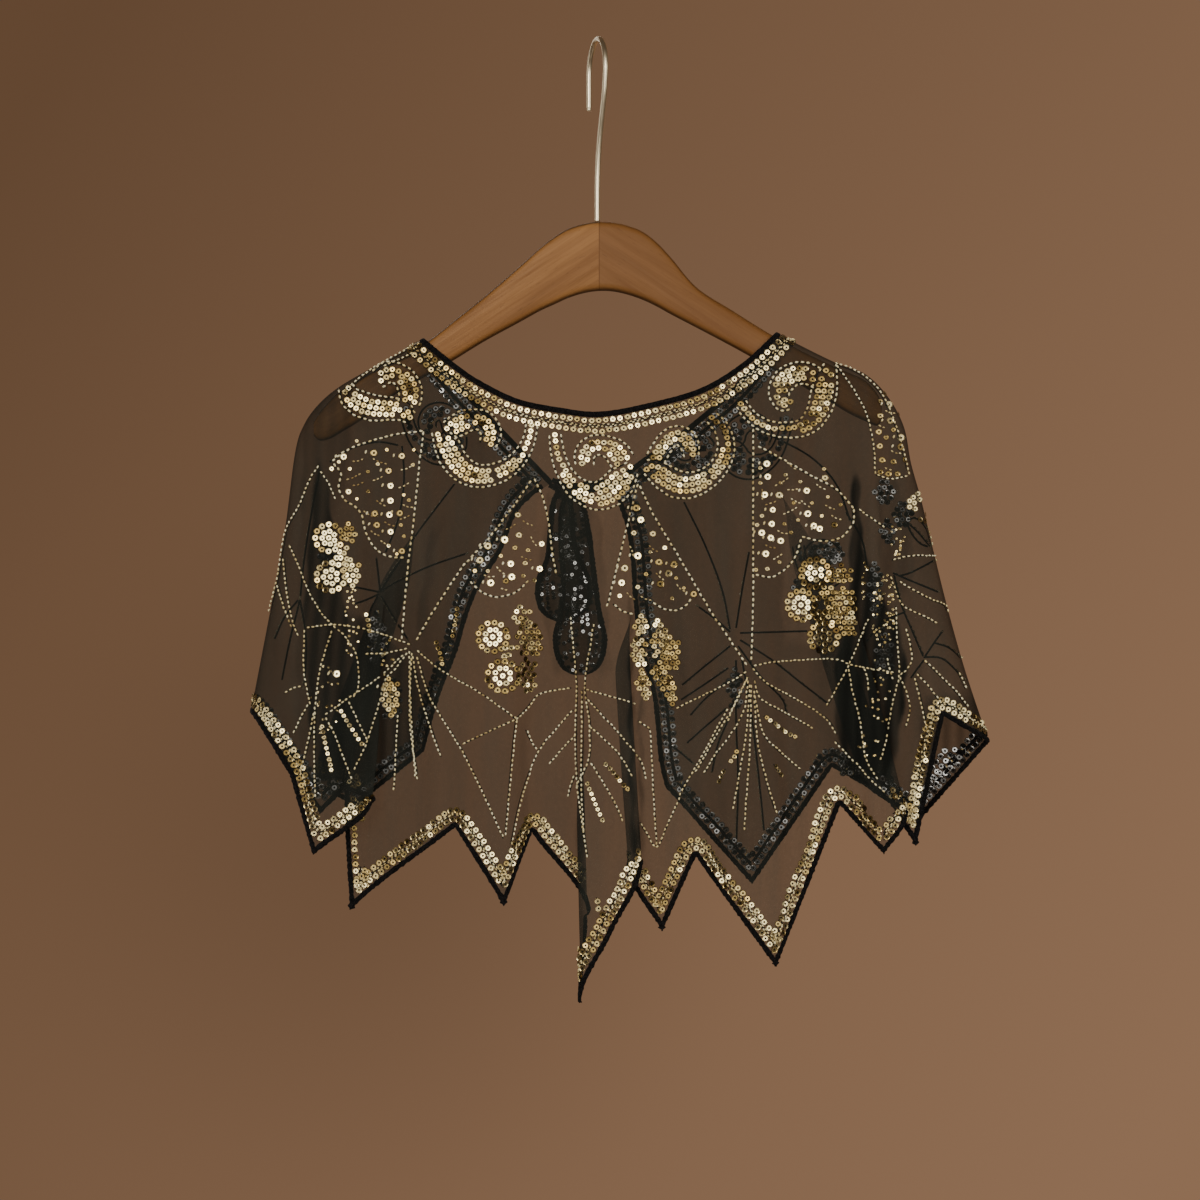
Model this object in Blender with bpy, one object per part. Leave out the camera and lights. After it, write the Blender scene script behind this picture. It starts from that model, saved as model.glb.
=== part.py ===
"""A sheer evening capelet, open at the front and tied there, on a wooden hanger with a wire hook.

Metres, +Z up. The origin is the inner top of the hook, where it hangs. X runs along the hanger
and +Y goes through the garment from its back, which faces -Y, to its two fronts.
The cloth is worked out in millimetres from the tables below and turned into metres at the end.

The outlines in the tables are as seen by an eye EYE_DISTANCE in front of the hanger's plane, so
cloth that lies nearer the eye than the hanger is drawn in a little, and cloth behind it is spread.
"""

import math

import bpy
import numpy as np

for old in list(bpy.data.objects):
    bpy.data.objects.remove(old, do_unlink=True)

MM = 0.001

# ---------------------------------------------------------------- named sizes, in millimetres
WALL = 1.2  # net with its beading, as a wall
SEAM = 0.3  # between pieces that are sewn together
EYE_X, EYE_Z, EYE_DISTANCE = 1.5, -413.0, 2000.0

ARM_HALF = 6.5  # half the hanger's thickness
ARM_ROUND = 6.2  # how the arm rounds over at its top and underside
OVER_ARM = 2.6  # from the wood to the middle of the cloth on it
CLING = ARM_HALF + OVER_ARM  # how far the cloth stands from the hanger's plane beside an arm
SPREAD, SPREAD_FALL = 25.0, 180.0  # it drifts this much further out, over this drop
ROLL, ROLL_FALL = 46.0, 120.0  # and its side fold opens to this much more, over this drop

TAPE_DEEP, TAPE_THICK = 3.4, 1.8  # the neck binding
TIE_WALL = 1.2
HOOK_WIRE = 3.7
HOOK_INNER = 22.0  # inner radius of the hook
HOOK_LEG = 25.0  # straight end behind, below the bend
HOOK_YAW = math.radians(15.0)
HOOK_FOOT = -132.9  # where the wire meets the wood

COLUMNS_PER_MM = 1 / 15.0
ROWS = 13


def table(columns, *rows):
    """A list of rows, each a dictionary with these columns."""
    names = columns.split()
    return [dict(zip(names, row, strict=True)) for row in rows]


def pick(rows, *names):
    return np.array([[row[n] for n in names] for row in rows], float)


# ---------------------------------------------------------------- outlines of the cloth
SIDE_LEFT = table(
    "place x z",
    ("shoulder", -128.8, -219.8),
    ("on the arm", -159.1, -236.8),
    ("on the arm", -189.4, -253.8),
    ("arm end", -206.5, -267.9),
    ("round the end", -217.6, -283.4),
    ("below it", -224.2, -304.1),
    ("side", -231.6, -360.4),
    ("side", -240.5, -410.0),
    ("side", -253.8, -479.5),
    ("hem", -256.8, -495.8),
)
SIDE_RIGHT = table(
    "place x z",
    ("shoulder", 131.7, -215.4),
    ("on the arm", 173.2, -236.1),
    ("arm end", 197.6, -245.7),
    ("round the end", 214.6, -262.7),
    ("below it", 226.4, -284.9),
    ("side", 231.6, -311.5),
    ("side", 239.0, -338.2),
    ("side", 247.2, -372.2),
    ("side", 258.3, -417.4),
    ("side", 271.6, -464.7),
    ("hem", 289.3, -518.0),
)
NECK_BACK = table(
    "place x z",
    ("left shoulder", -128.8, -219.8),
    ("beside it", -105.8, -238.3),
    ("slope", -87.3, -250.9),
    ("slope", -59.9, -264.2),
    ("low", -28.9, -270.8),
    ("centre back", 1.5, -273.8),
    ("low", 39.2, -267.1),
    ("slope", 77.0, -256.0),
    ("beside it", 107.3, -237.5),
    ("right shoulder", 131.7, -215.4),
)
NECK_FRONT_LEFT = table(
    "place x z",
    ("left shoulder", -128.8, -219.8),
    ("slope", -105.8, -248.6),
    ("slope", -80.7, -276.0),
    ("slope", -48.1, -310.1),
    ("tie", -33.3, -325.6),
)
NECK_FRONT_RIGHT = table(
    "place x z",
    ("right shoulder", 131.7, -215.4),
    ("slope", 101.4, -253.8),
    ("slope", 68.1, -283.4),
    ("slope", 42.9, -301.9),
    ("slope", 28.1, -312.3),
    ("tie", 10.4, -327.1),
)
EDGE_LEFT = table(
    "place x z",
    ("tie", -33.3, -325.6),
    ("swings away", -49.6, -336.7),
    ("edge", -61.4, -350.8),
    ("edge", -71.8, -377.4),
    ("edge", -87.3, -401.8),
    ("edge", -96.9, -425.5),
    ("edge", -104.3, -450.7),
    ("edge", -114.0, -475.1),
    ("edge", -120.6, -494.3),
    ("corner", -128.8, -524.7),
)
EDGE_RIGHT = table(
    "place x z",
    ("tie", 10.4, -327.1),
    ("edge", 15.5, -342.6),
    ("edge", 21.5, -361.9),
    ("edge", 24.4, -383.3),
    ("edge", 26.6, -416.6),
    ("edge", 31.8, -451.4),
    ("edge", 40.7, -486.2),
    ("edge", 45.1, -529.8),
    ("corner", 49.6, -550.6),
)

# The zigzag hem. back is how far a point lies behind the cloth's own sweep, start is the height
# where its fold begins and grow the drop over which the fold reaches its full width.
HEM_BACK = table(
    "place x z back start grow",
    ("left side", -256.8, -495.8, 0, -330, 160),
    ("bend", -227.9, -542.4, -3, -330, 160),
    ("tip", -210.9, -601.6, -8, -330, 180),
    ("front of pleat", -167.2, -561.7, -4, -350, 190),
    ("back of pleat", -187.5, -552.0, 6, -350, 190),
    ("large tip", -183.5, -642.3, 11, -350, 190),
    ("notch", -105.8, -580.9, 1, -330, 240),
    ("tip", -69.6, -639.4, -5, -330, 240),
    ("notch", -48.8, -584.6, 6, -380, 160),
    ("behind the strip", -8.0, -646.0, 4, -470, 110),
    ("centre tip", -12.6, -711.1, -4, -470, 110),
    ("side of the tip", 10.0, -659.7, -7, -430, 90),
    ("front of strip", 32.6, -608.3, -3, -400, 70),
    ("back of strip", 22.6, -611.2, 4, -400, 70),
    ("tip", 47.4, -657.9, 8, -400, 160),
    ("notch", 72.5, -602.4, -3, -330, 240),
    ("large tip", 131.7, -684.5, -5, -330, 260),
    ("notch", 179.1, -564.6, 3, -330, 220),
    ("tip", 211.6, -600.9, -7, -330, 200),
    ("front of pleat", 228.7, -573.0, -3, -360, 150),
    ("back of pleat", 219.0, -563.0, 5, -360, 150),
    ("curled tip", 235.3, -595.0, 8, -360, 150),
    ("notch", 256.0, -498.8, -3, -330, 140),
    ("right side", 289.3, -518.0, 0, -330, 140),
)
HEM_FRONT_LEFT = table(
    "place x z back start grow",
    ("left side", -256.8, -495.8, 0, -330, 160),
    ("large tip", -205.7, -571.3, -4, -330, 200),
    ("turn of pleat", -187.2, -548.0, 1, -318, 90),
    ("back of pleat", -212.4, -545.0, 9, -318, 90),
    ("tip", -179.1, -565.4, 13, -330, 160),
    ("corner", -128.8, -524.7, 2, -330, 190),
)
HEM_FRONT_RIGHT = table(
    "place x z back start grow",
    ("right side", 289.3, -518.0, 0, -330, 140),
    ("large tip", 236.8, -577.2, -4, -330, 200),
    ("turn of pleat", 193.2, -541.0, 1, -288, 110),
    ("back of pleat", 218.3, -547.0, 9, -288, 110),
    ("tip", 212.0, -559.0, 13, -330, 160),
    ("notch", 173.2, -536.5, 2, -330, 200),
    ("large tip", 114.0, -623.1, -3, -330, 220),
    ("corner", 49.6, -550.6, 0, -330, 220),
)

# The largest soft folds, from their upper to their lower end. depth is + away from the eye.
FOLDS_BACK = table(
    "place x0 z0 x1 z1 wide depth",
    ("from the arm end", -205.0, -300.0, -222.0, -560.0, 26, 6.0),
    ("left flute", -140.0, -330.0, -145.0, -640.0, 34, 6.5),
    ("left centre", -70.0, -300.0, -88.0, -620.0, 30, -5.0),
    ("centre", -30.0, -330.0, -30.0, -640.0, 24, 5.0),
    ("right centre", 60.0, -330.0, 72.0, -610.0, 26, 6.0),
    ("right flute", 120.0, -310.0, 112.0, -650.0, 36, -5.5),
    ("right flute", 150.0, -300.0, 160.0, -600.0, 26, 6.0),
    ("from the arm end", 208.0, -290.0, 246.0, -560.0, 24, 6.5),
)
FOLDS_FRONT = table(
    "place x0 z0 x1 z1 wide depth",
    ("left front", -110.0, -300.0, -150.0, -560.0, 34, 5.5),
    ("left front", -160.0, -290.0, -172.0, -560.0, 22, -4.5),
    ("left side", -215.0, -310.0, -235.0, -540.0, 20, -5.0),
    ("right front", 70.0, -320.0, 85.0, -600.0, 30, -5.0),
    ("right front", 110.0, -290.0, 138.0, -600.0, 34, 5.5),
    ("right front", 160.0, -290.0, 168.0, -560.0, 24, -5.0),
    ("right side", 222.0, -300.0, 258.0, -540.0, 22, -5.0),
)

# ---------------------------------------------------------------- the hanger, tilted 1 degree as it hangs
ARMS = table(
    "place x top under",
    ("left end", -210.0, -280.5, -291.5),
    ("left end", -206.0, -274.0, -295.0),
    ("left arm", -198.0, -265.0, -293.5),
    ("left arm", -189.4, -257.0, -288.5),
    ("left arm", -174.0, -248.0, -279.0),
    ("left arm", -159.1, -240.0, -267.5),
    ("left arm", -143.5, -231.6, -256.5),
    ("left arm", -125.1, -221.0, -246.0),
    ("left arm", -106.0, -206.0, -235.0),
    ("left arm", -84.0, -188.5, -221.5),
    ("left arm", -59.2, -167.2, -208.0),
    ("left arm", -42.9, -152.4, -199.0),
    ("left hump", -32.0, -144.2, -194.0),
    ("left hump", -22.2, -138.4, -189.5),
    ("left hump", -11.0, -134.8, -186.0),
    ("middle", 0.0, -133.2, -184.3),
    ("right hump", 11.0, -133.6, -184.6),
    ("right hump", 22.0, -136.0, -187.0),
    ("right hump", 33.3, -140.6, -190.9),
    ("right hump", 44.0, -149.0, -196.0),
    ("right arm", 54.8, -160.6, -202.0),
    ("right arm", 73.3, -182.0, -211.6),
    ("right arm", 99.9, -199.1, -225.7),
    ("right arm", 127.3, -216.2, -241.0),
    ("right arm", 150.0, -228.4, -254.0),
    ("right arm", 173.2, -239.6, -267.5),
    ("right arm", 187.0, -245.4, -275.5),
    ("right arm", 197.6, -250.5, -280.5),
    ("right end", 206.0, -259.5, -284.0),
    ("right end", 209.5, -267.0, -281.0),
)

# Each tie as a flat strip: its middle line, its width and how far behind the hanger it hangs.
TIE_LEFT = table(
    "place x z back wide",
    ("front corner", -35.0, -325.8, 24.9, 8),
    ("knot", -26.5, -331.0, 25.8, 9),
    ("below the knot", -26.8, -343.0, 26.4, 17),
    ("strap", -27.0, -366.0, 27.0, 21),
    ("strap", -26.0, -382.0, 27.6, 27),
    ("lobe", -25.6, -396.0, 28.0, 39),
    ("lobe", -25.2, -410.0, 28.2, 42),
    ("lobe", -24.0, -421.0, 28.2, 34),
    ("end", -22.8, -428.4, 28.0, 12),
)
TIE_RIGHT = table(
    "place x z back wide",
    ("front corner", 10.5, -327.0, 24.9, 8),
    ("strap to the knot", -4.0, -329.0, 26.6, 8),
    ("knot", -17.0, -332.0, 28.4, 9),
    ("below the knot", -18.6, -345.0, 29.4, 20),
    ("strap", -16.6, -370.0, 30.6, 25),
    ("strap", -14.0, -400.0, 31.2, 27),
    ("lobe", -13.4, -424.0, 31.6, 33),
    ("lobe", -13.3, -441.0, 31.8, 40),
    ("lobe", -13.3, -455.0, 31.8, 36),
    ("lobe", -13.3, -464.0, 31.8, 26),
    ("end", -13.3, -468.4, 31.8, 10),
)


# ---------------------------------------------------------------- curves and the cloth's sweep
class Curve:
    """A smooth curve through points, read by the share of its length."""

    def __init__(self, points):
        p = np.asarray(points, float)
        q = np.vstack([2 * p[0] - p[1], p, 2 * p[-1] - p[-2]])
        made = []
        for a, b, c, d in zip(q[:-3], q[1:-2], q[2:-1], q[3:], strict=True):
            for t in np.arange(0, 1, 1 / 16):
                made.append(
                    b
                    + 0.5 * t * (c - a)
                    + 0.5 * t * t * (2 * a - 5 * b + 4 * c - d)
                    + 0.5 * t**3 * (3 * b - 3 * c + d - a)
                )
        made.append(p[-1])
        self.points = np.array(made)
        steps = np.linalg.norm(np.diff(self.points, axis=0), axis=1)
        self.at = np.concatenate([[0], np.cumsum(steps)])
        self.length = self.at[-1]
        self.at = self.at / self.length

    def __call__(self, share):
        share = np.asarray(share, float)
        return np.stack(
            [
                np.interp(share, self.at, self.points[:, k])
                for k in range(self.points.shape[1])
            ],
            axis=-1,
        )


def smooth_step(value):
    value = np.clip(value, 0, 1)
    return value * value * (3 - 2 * value)


def from_line(points, line):
    """The distance of each point from a line through points."""
    start, run = line[:-1], np.diff(line, axis=0)
    rel = points[..., None, :] - start
    share = np.clip((rel * run).sum(-1) / (run * run).sum(-1), 0, 1)
    return np.linalg.norm(rel - share[..., None] * run, axis=-1).min(-1)


LEFT, RIGHT = Curve(pick(SIDE_LEFT, "x", "z")), Curve(pick(SIDE_RIGHT, "x", "z"))
HUMP = pick([r for r in ARMS if -125 < r["x"] < 127], "x", "top")
OUTLINE = np.vstack([LEFT.points[::-1], HUMP, RIGHT.points])


def fullness(x, z):
    """How far the cloth stands from the hanger's plane at a place seen from the front, and how near the side fold it is, from 0 on the fold to 1 clear of it."""
    under = np.interp(x, pick(ARMS, "x")[:, 0], pick(ARMS, "under")[:, 0])
    below = np.maximum(under - z, 0)
    out = CLING + SPREAD * (1 - np.exp(-below / SPREAD_FALL))
    roll = CLING + ROLL * (1 - np.exp(-below / ROLL_FALL))
    turn = np.clip(from_line(np.stack([x, z], -1), OUTLINE) / roll, 0, 1)
    clear = np.sqrt(1 - (1 - turn) ** 2)
    return out * clear, clear


def soft_fold(x, z, fold):
    """A cosine trough or ridge along a line, from nothing at its upper end to its full depth below."""
    start, end = np.array([fold["x0"], fold["z0"]]), np.array([fold["x1"], fold["z1"]])
    down = np.clip((start[1] - z) / (start[1] - end[1]), 0, 1.2)
    off = np.abs(x - (start[0] + (end[0] - start[0]) * down)) / fold["wide"]
    return (
        fold["depth"]
        * smooth_step(down * 1.6)
        * np.where(off < 1, 0.5 + 0.5 * np.cos(np.pi * np.clip(off, 0, 1)), 0)
    )


def to_the_eye(x, y, z):
    near = (EYE_DISTANCE + y) / EYE_DISTANCE
    return np.stack([EYE_X + (x - EYE_X) * near, y, EYE_Z + (z - EYE_Z) * near], -1)


class Panel:
    """One face of the capelet, from the fold over a hanger arm to its other side. side is -1 towards the eye and +1 behind the hanger."""

    def __init__(self, side, first, last, neck, hem, folds):
        self.side, self.first, self.last, self.neck = side, first, last, neck
        self.folds = folds
        self.rows = pick(hem, "x", "z", "back", "start", "grow")
        run = np.diff(self.rows[:, [0, 2]], axis=0)
        run[:, 1] = np.abs(run[:, 1])
        self.widths = np.maximum(np.linalg.norm(run, axis=1), 6.0)
        self.at = np.concatenate([[0], np.cumsum(self.widths)])
        self.cloth = self.at[-1]
        self.at = self.at / self.cloth
        self.plan = self.rounded(self.rows[:, [0, 2]])

    def rounded(self, points):
        """The hem's plan as smooth turns through its rows, one cubic each, that never swings past a row."""
        slope = np.zeros_like(points)
        rise = np.diff(points, axis=0) / np.diff(self.at)[:, None]
        same = rise[:-1] * rise[1:] > 0
        both = np.where(same, rise[:-1] + rise[1:], 1)
        slope[1:-1] = np.where(same, 2 * rise[:-1] * rise[1:] / both, 0)
        slope[0], slope[-1] = rise[0], rise[-1]
        return points, slope

    def hem(self, s):
        """x, z, back, start and grow of the hem at each share s of the cloth's width."""
        k = np.clip(np.searchsorted(self.at, s, side="right") - 1, 0, len(self.at) - 2)
        gap = self.at[k + 1] - self.at[k]
        t = ((s - self.at[k]) / gap)[..., None]
        points, slope = self.plan
        plan = (
            (2 * t**3 - 3 * t**2 + 1) * points[k]
            + (t**3 - 2 * t**2 + t) * slope[k] * gap[..., None]
            + (3 * t**2 - 2 * t**3) * points[k + 1]
            + (t**3 - t**2) * slope[k + 1] * gap[..., None]
        )
        rest = (1 - t) * self.rows[k][..., [1, 3, 4]] + t * self.rows[k + 1][
            ..., [1, 3, 4]
        ]
        return plan[..., 0], rest[..., 0], plan[..., 1], rest[..., 1], rest[..., 2]

    def place(self, s, t):
        """The middle of the cloth at share s of its width and t of its drop, in mm."""
        s, t = np.broadcast_arrays(np.asarray(s, float), np.asarray(t, float))
        x_hem, z_hem, back, start, grow = self.hem(s)
        top = self.neck(s)
        ends = self.first(1.0), self.last(1.0)
        x_even = (1 - s) * ends[0][0] + s * ends[1][0]
        z = (1 - t) * top[..., 1] + t * z_hem
        x = (1 - t) * top[..., 0] + t * x_even
        for curve, share in ((self.first, 1 - s), (self.last, s)):
            chord = (1 - t)[..., None] * curve(0.0) + t[..., None] * curve(1.0)
            bow = (curve(t) - chord) * (share**3)[..., None]
            x, z = x + bow[..., 0], z + bow[..., 1]
        folded = smooth_step((start - z) / grow)
        x = x + (x_hem - x_even) * folded
        out, clear = fullness(x, z)
        y = self.side * out + back * folded * clear
        for fold in self.folds:
            y = y + soft_fold(x, z, fold) * clear
        return to_the_eye(x, y, z)

    def shares(self):
        """Where the columns of cloth run: close together round each side fold and in the pleats, and at every row of the hem."""
        rows = [round(float(a), 6) for a in self.at]
        wanted = [*ROUND_THE_FOLD]
        if self.side < 0:
            wanted += [1 - s for s in ROUND_THE_FOLD]
        turns = self.plan[1][:, 0] == 0
        for i, wide in enumerate(self.widths):
            n = max(2, round(wide * COLUMNS_PER_MM))
            if turns[i] and turns[i + 1]:
                n = max(n, 4)
            wanted += [rows[i] + (rows[i + 1] - rows[i]) * k / n for k in range(1, n)]
        kept = sorted(rows)
        for s in wanted:
            if min(abs(s - k) for k in kept) > 0.0030:
                kept.append(s)
        return np.array(sorted(kept))

    def drops(self, s):
        """The share of the drop at which the cloth starts below the neck binding."""
        long = np.linalg.norm(self.place(s, 0.06) - self.place(s, 0.0), axis=-1) / 0.06
        return (TAPE_DEEP + SEAM + 0.3) / long


ROUND_THE_FOLD = [0.0, 0.0035, 0.0110, 0.0200, 0.0310, 0.0550, 0.0850]

CAPE = {
    "cape_back": Panel(
        -1, LEFT, RIGHT, Curve(pick(NECK_BACK, "x", "z")), HEM_BACK, FOLDS_BACK
    ),
    "cape_front_left": Panel(
        1,
        LEFT,
        Curve(pick(EDGE_LEFT, "x", "z")),
        Curve(pick(NECK_FRONT_LEFT, "x", "z")),
        HEM_FRONT_LEFT,
        FOLDS_FRONT,
    ),
    "cape_front_right": Panel(
        1,
        RIGHT,
        Curve(pick(EDGE_RIGHT, "x", "z")),
        Curve(pick(NECK_FRONT_RIGHT, "x", "z")),
        HEM_FRONT_RIGHT,
        FOLDS_FRONT,
    ),
}


# ---------------------------------------------------------------- meshes
def material(name, colour, roughness, metallic=0.0):
    made = bpy.data.materials.new(name)
    made.use_nodes = True
    shader = made.node_tree.nodes["Principled BSDF"]
    shader.inputs["Base Color"].default_value = (*colour, 1)
    shader.inputs["Roughness"].default_value = roughness
    shader.inputs["Metallic"].default_value = metallic
    return made


def add(name, points, faces, made_of, smooth=True):
    """A named object from points in mm and faces, with its faces turned outwards."""
    mesh = bpy.data.meshes.new(name)
    mesh.from_pydata([tuple(p) for p in np.asarray(points) * MM], [], faces)
    mesh.validate()
    piece = bpy.data.objects.new(name, mesh)
    bpy.context.scene.collection.objects.link(piece)
    mesh.materials.append(made_of)
    if smooth:
        mesh.shade_smooth()
        mesh.set_sharp_from_angle(angle=math.radians(40))
    volume = sum(
        np.dot(
            mesh.vertices[t.vertices[0]].co,
            np.cross(mesh.vertices[t.vertices[1]].co, mesh.vertices[t.vertices[2]].co),
        )
        for t in loop_triangles(mesh)
    )
    if volume < 0:
        mesh.flip_normals()
    return piece


def loop_triangles(mesh):
    mesh.calc_loop_triangles()
    return mesh.loop_triangles


def unit(v):
    return v / np.maximum(np.linalg.norm(v, axis=-1, keepdims=True), 1e-9)


def wall(grid, thick, flat_ends=()):
    """A closed wall on a grid of points, half its thickness to each side. At the columns in flat_ends the wall's rim stays in a plane of constant y."""
    n, m = grid.shape[:2]
    middle = grid.reshape(-1, 3)
    index = np.arange(n * m).reshape(n, m)
    halves = []
    for i in range(n - 1):
        for j in range(m - 1):
            a, b, c, d = index[i, j], index[i + 1, j], index[i + 1, j + 1], index[i, j + 1]
            one = np.linalg.norm(middle[a] - middle[c])
            other = np.linalg.norm(middle[b] - middle[d])
            halves += ((a, b, c), (a, c, d)) if one < other else ((a, b, d), (b, c, d))
    halves = np.array(halves)
    corner = middle[halves]
    facing = unit(np.cross(corner[:, 1] - corner[:, 0], corner[:, 2] - corner[:, 0]))
    around = [[] for _ in range(n * m)]
    for k, half in enumerate(halves):
        for v in half:
            around[v].append(k)
    normal = np.array([unit(facing[k].sum(0)) for k in around])
    for _ in range(40):  # turned until each point leaves all its triangles on the same side
        for v, k in enumerate(around):
            seen = facing[k] @ normal[v]
            if seen.min() < 0.35:
                normal[v] = unit(normal[v] + 0.12 * facing[k[int(seen.argmin())]])
    for column in flat_ends:
        normal[index[column], 1] = 0
        normal[index[column]] = unit(normal[index[column]])
    points = np.concatenate([middle + normal * thick / 2, middle - normal * thick / 2])
    faces = []
    for p, q, r in halves:  # both faces of the wall share their diagonals
        faces += [(p, q, r), (r + n * m, q + n * m, p + n * m)]
    rim = [
        *index[:, 0],
        *index[-1, 1:],
        *index[:-1, -1][::-1],
        *index[0, 1:-1][::-1],
    ]
    for a, b in zip(rim, rim[1:] + rim[:1], strict=True):
        faces.append((b, a, a + n * m, b + n * m))
    return points, [tuple(int(v) for v in f) for f in faces]


def rod(path, across, up, wide, tall):
    """A closed bar of rectangular section along a path. across and up are its section's directions."""
    corners = ((-1, -1), (1, -1), (1, 1), (-1, 1))
    points = np.concatenate(
        [
            path + across * (wide / 2 * a) + up * (tall / 2 * b)
            for a, b in corners
        ]
    )
    n = len(path)
    faces = []
    for k in range(4):
        a, b = k * n, (k + 1) % 4 * n
        faces += [(a + i, b + i, b + i + 1, a + i + 1) for i in range(n - 1)]
    faces += [tuple(k * n for k in (3, 2, 1, 0)), tuple(k * n + n - 1 for k in range(4))]
    return points, faces


def tube(path, radius, sides):
    """A closed round bar along a path that stays nearly in one plane."""
    tangent = unit(np.gradient(path, axis=0))
    side = unit(np.cross(tangent, np.broadcast_to([math.cos(HOOK_YAW), math.sin(HOOK_YAW), 0.0], tangent.shape)))
    other = np.cross(tangent, side)
    n = len(path)
    points, faces = [], []
    for p, u, v in zip(path, side, other, strict=True):
        for k in range(sides):
            a = 2 * math.pi * k / sides
            points.append(p + radius * (math.cos(a) * u + math.sin(a) * v))
    for i in range(n - 1):
        for k in range(sides):
            a, b = i * sides + k, i * sides + (k + 1) % sides
            faces.append((a, b, b + sides, a + sides))
    faces += [tuple(range(sides))[::-1], tuple((n - 1) * sides + k for k in range(sides))]
    return points, faces


NET = material("net", (0.020, 0.015, 0.012), 0.75)
BLACK = material("binding", (0.008, 0.008, 0.009), 0.7)
WOOD = material("beech", (0.26, 0.105, 0.045), 0.42)
STEEL = material("steel", (0.72, 0.69, 0.63), 0.25, 1.0)


def build_cape():
    for name, panel in CAPE.items():
        s = panel.shares()
        start = panel.drops(s)
        rows = np.linspace(0, 1, ROWS) ** 1.05
        t = start[:, None] + (1 - start[:, None]) * rows
        grid = panel.place(np.repeat(s[:, None], ROWS, 1), t)
        ends = [0] if name != "cape_back" else [0, -1]
        for column in ends:
            grid[column, :, 1] = panel.side * SEAM / 2
        add(name, *wall(grid, WALL, ends), NET)


def build_binding():
    """The tape round the neck, over the left shoulder, along the back and over the right one."""
    left, back, right = (
        CAPE["cape_front_left"],
        CAPE["cape_back"],
        CAPE["cape_front_right"],
    )
    side = np.array([0.0035, 0.0110, 0.0200, 0.0310, 0.0550, 0.0850])
    stretches = (
        (left, np.concatenate([np.linspace(1, 0.14, 14), side[::-1]])),
        (back, np.concatenate([[0.0], side, np.linspace(0.12, 0.88, 24), 1 - side[::-1], [1.0]])),
        (right, np.concatenate([side, np.linspace(0.14, 1, 16)])),
    )
    middle, down = [], []
    for panel, s in stretches:
        top = panel.place(s, 0.0)
        below = panel.place(s, 0.05)
        way = unit(below - top)
        middle.append(top + way * TAPE_DEEP / 2)
        down.append(way)
    path, down = np.concatenate(middle), np.concatenate(down)
    along = unit(np.gradient(path, axis=0))
    down = unit(down - (down * along).sum(-1, keepdims=True) * along)
    out = np.cross(along, down)
    add("neck_binding", *rod(path, out, down, TAPE_THICK, TAPE_DEEP), BLACK, smooth=False)


def strip(rows, thick):
    """A flat tie hanging in depth, from its middle line and widths."""
    line = Curve(pick(rows, "x", "back", "z", "wide"))
    p = line(np.linspace(0, 1, 18))
    xyz, wide = p[:, :3], p[:, 3]
    along = unit(np.gradient(xyz[:, [0, 2]], axis=0))
    across = np.stack([along[:, 1], np.zeros(len(p)), -along[:, 0]], -1)
    shares = np.linspace(-1, 1, 5)
    grid = np.stack(
        [xyz + across * (wide / 2 * k)[:, None] + np.array([0, 1.2 * (1 - k * k), 0]) for k in shares]
    )
    grid = to_the_eye(grid[..., 0], grid[..., 1], grid[..., 2])
    return wall(grid, thick)


def build_ties():
    add("tie_left", *strip(TIE_LEFT, TIE_WALL), NET)
    add("tie_right", *strip(TIE_RIGHT, TIE_WALL), NET)
    # The knot's outer turn, a soft pad of cloth behind both ties.
    rings, sides = 6, 12
    points, faces = [], []
    for i in range(rings + 1):
        lat = math.pi * (i / rings - 0.5)
        for k in range(sides):
            a = 2 * math.pi * k / sides
            points.append(
                (
                    -21.5 + 12.0 * math.cos(lat) * math.cos(a),
                    34.1 + 3.4 * math.sin(lat),
                    -332.0 + 7.5 * math.cos(lat) * math.sin(a),
                )
            )
    points = [p for i, p in enumerate(points) if sides <= i < rings * sides]
    for i in range(rings - 2):
        for k in range(sides):
            a, b = i * sides + k, i * sides + (k + 1) % sides
            faces.append((a, b, b + sides, a + sides))
    faces += [tuple(range(sides))[::-1], tuple((rings - 2) * sides + k for k in range(sides))]
    add("tie_knot", points, faces, NET)


def build_hanger():
    """The arms as sections along X, round on top and softer below."""
    rows = pick(ARMS, "x", "top", "under")
    sides = 14
    points, faces = [], []
    for x, top, under in rows:
        half, middle = (top - under) / 2, (top + under) / 2
        end = min(1.0, 0.62 + min(x - rows[0, 0], rows[-1, 0] - x) / 24)
        for k in range(sides):
            a = 2 * math.pi * (k + 0.5) / sides
            c, s = math.cos(a), math.sin(a)
            corner = ARM_ROUND * end
            z = (half - corner) * min(abs(s) * 2.4, 1.0) + corner * abs(s)
            points.append((x, c * ARM_HALF * end, middle + math.copysign(z, s)))
    n = len(rows)
    for i in range(n - 1):
        for k in range(sides):
            a, b = i * sides + k, i * sides + (k + 1) % sides
            faces.append((a, a + sides, b + sides, b))
    faces += [tuple(range(sides)), tuple((n - 1) * sides + k for k in range(sides))[::-1]]
    add("hanger_wood", points, faces, WOOD)


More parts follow.
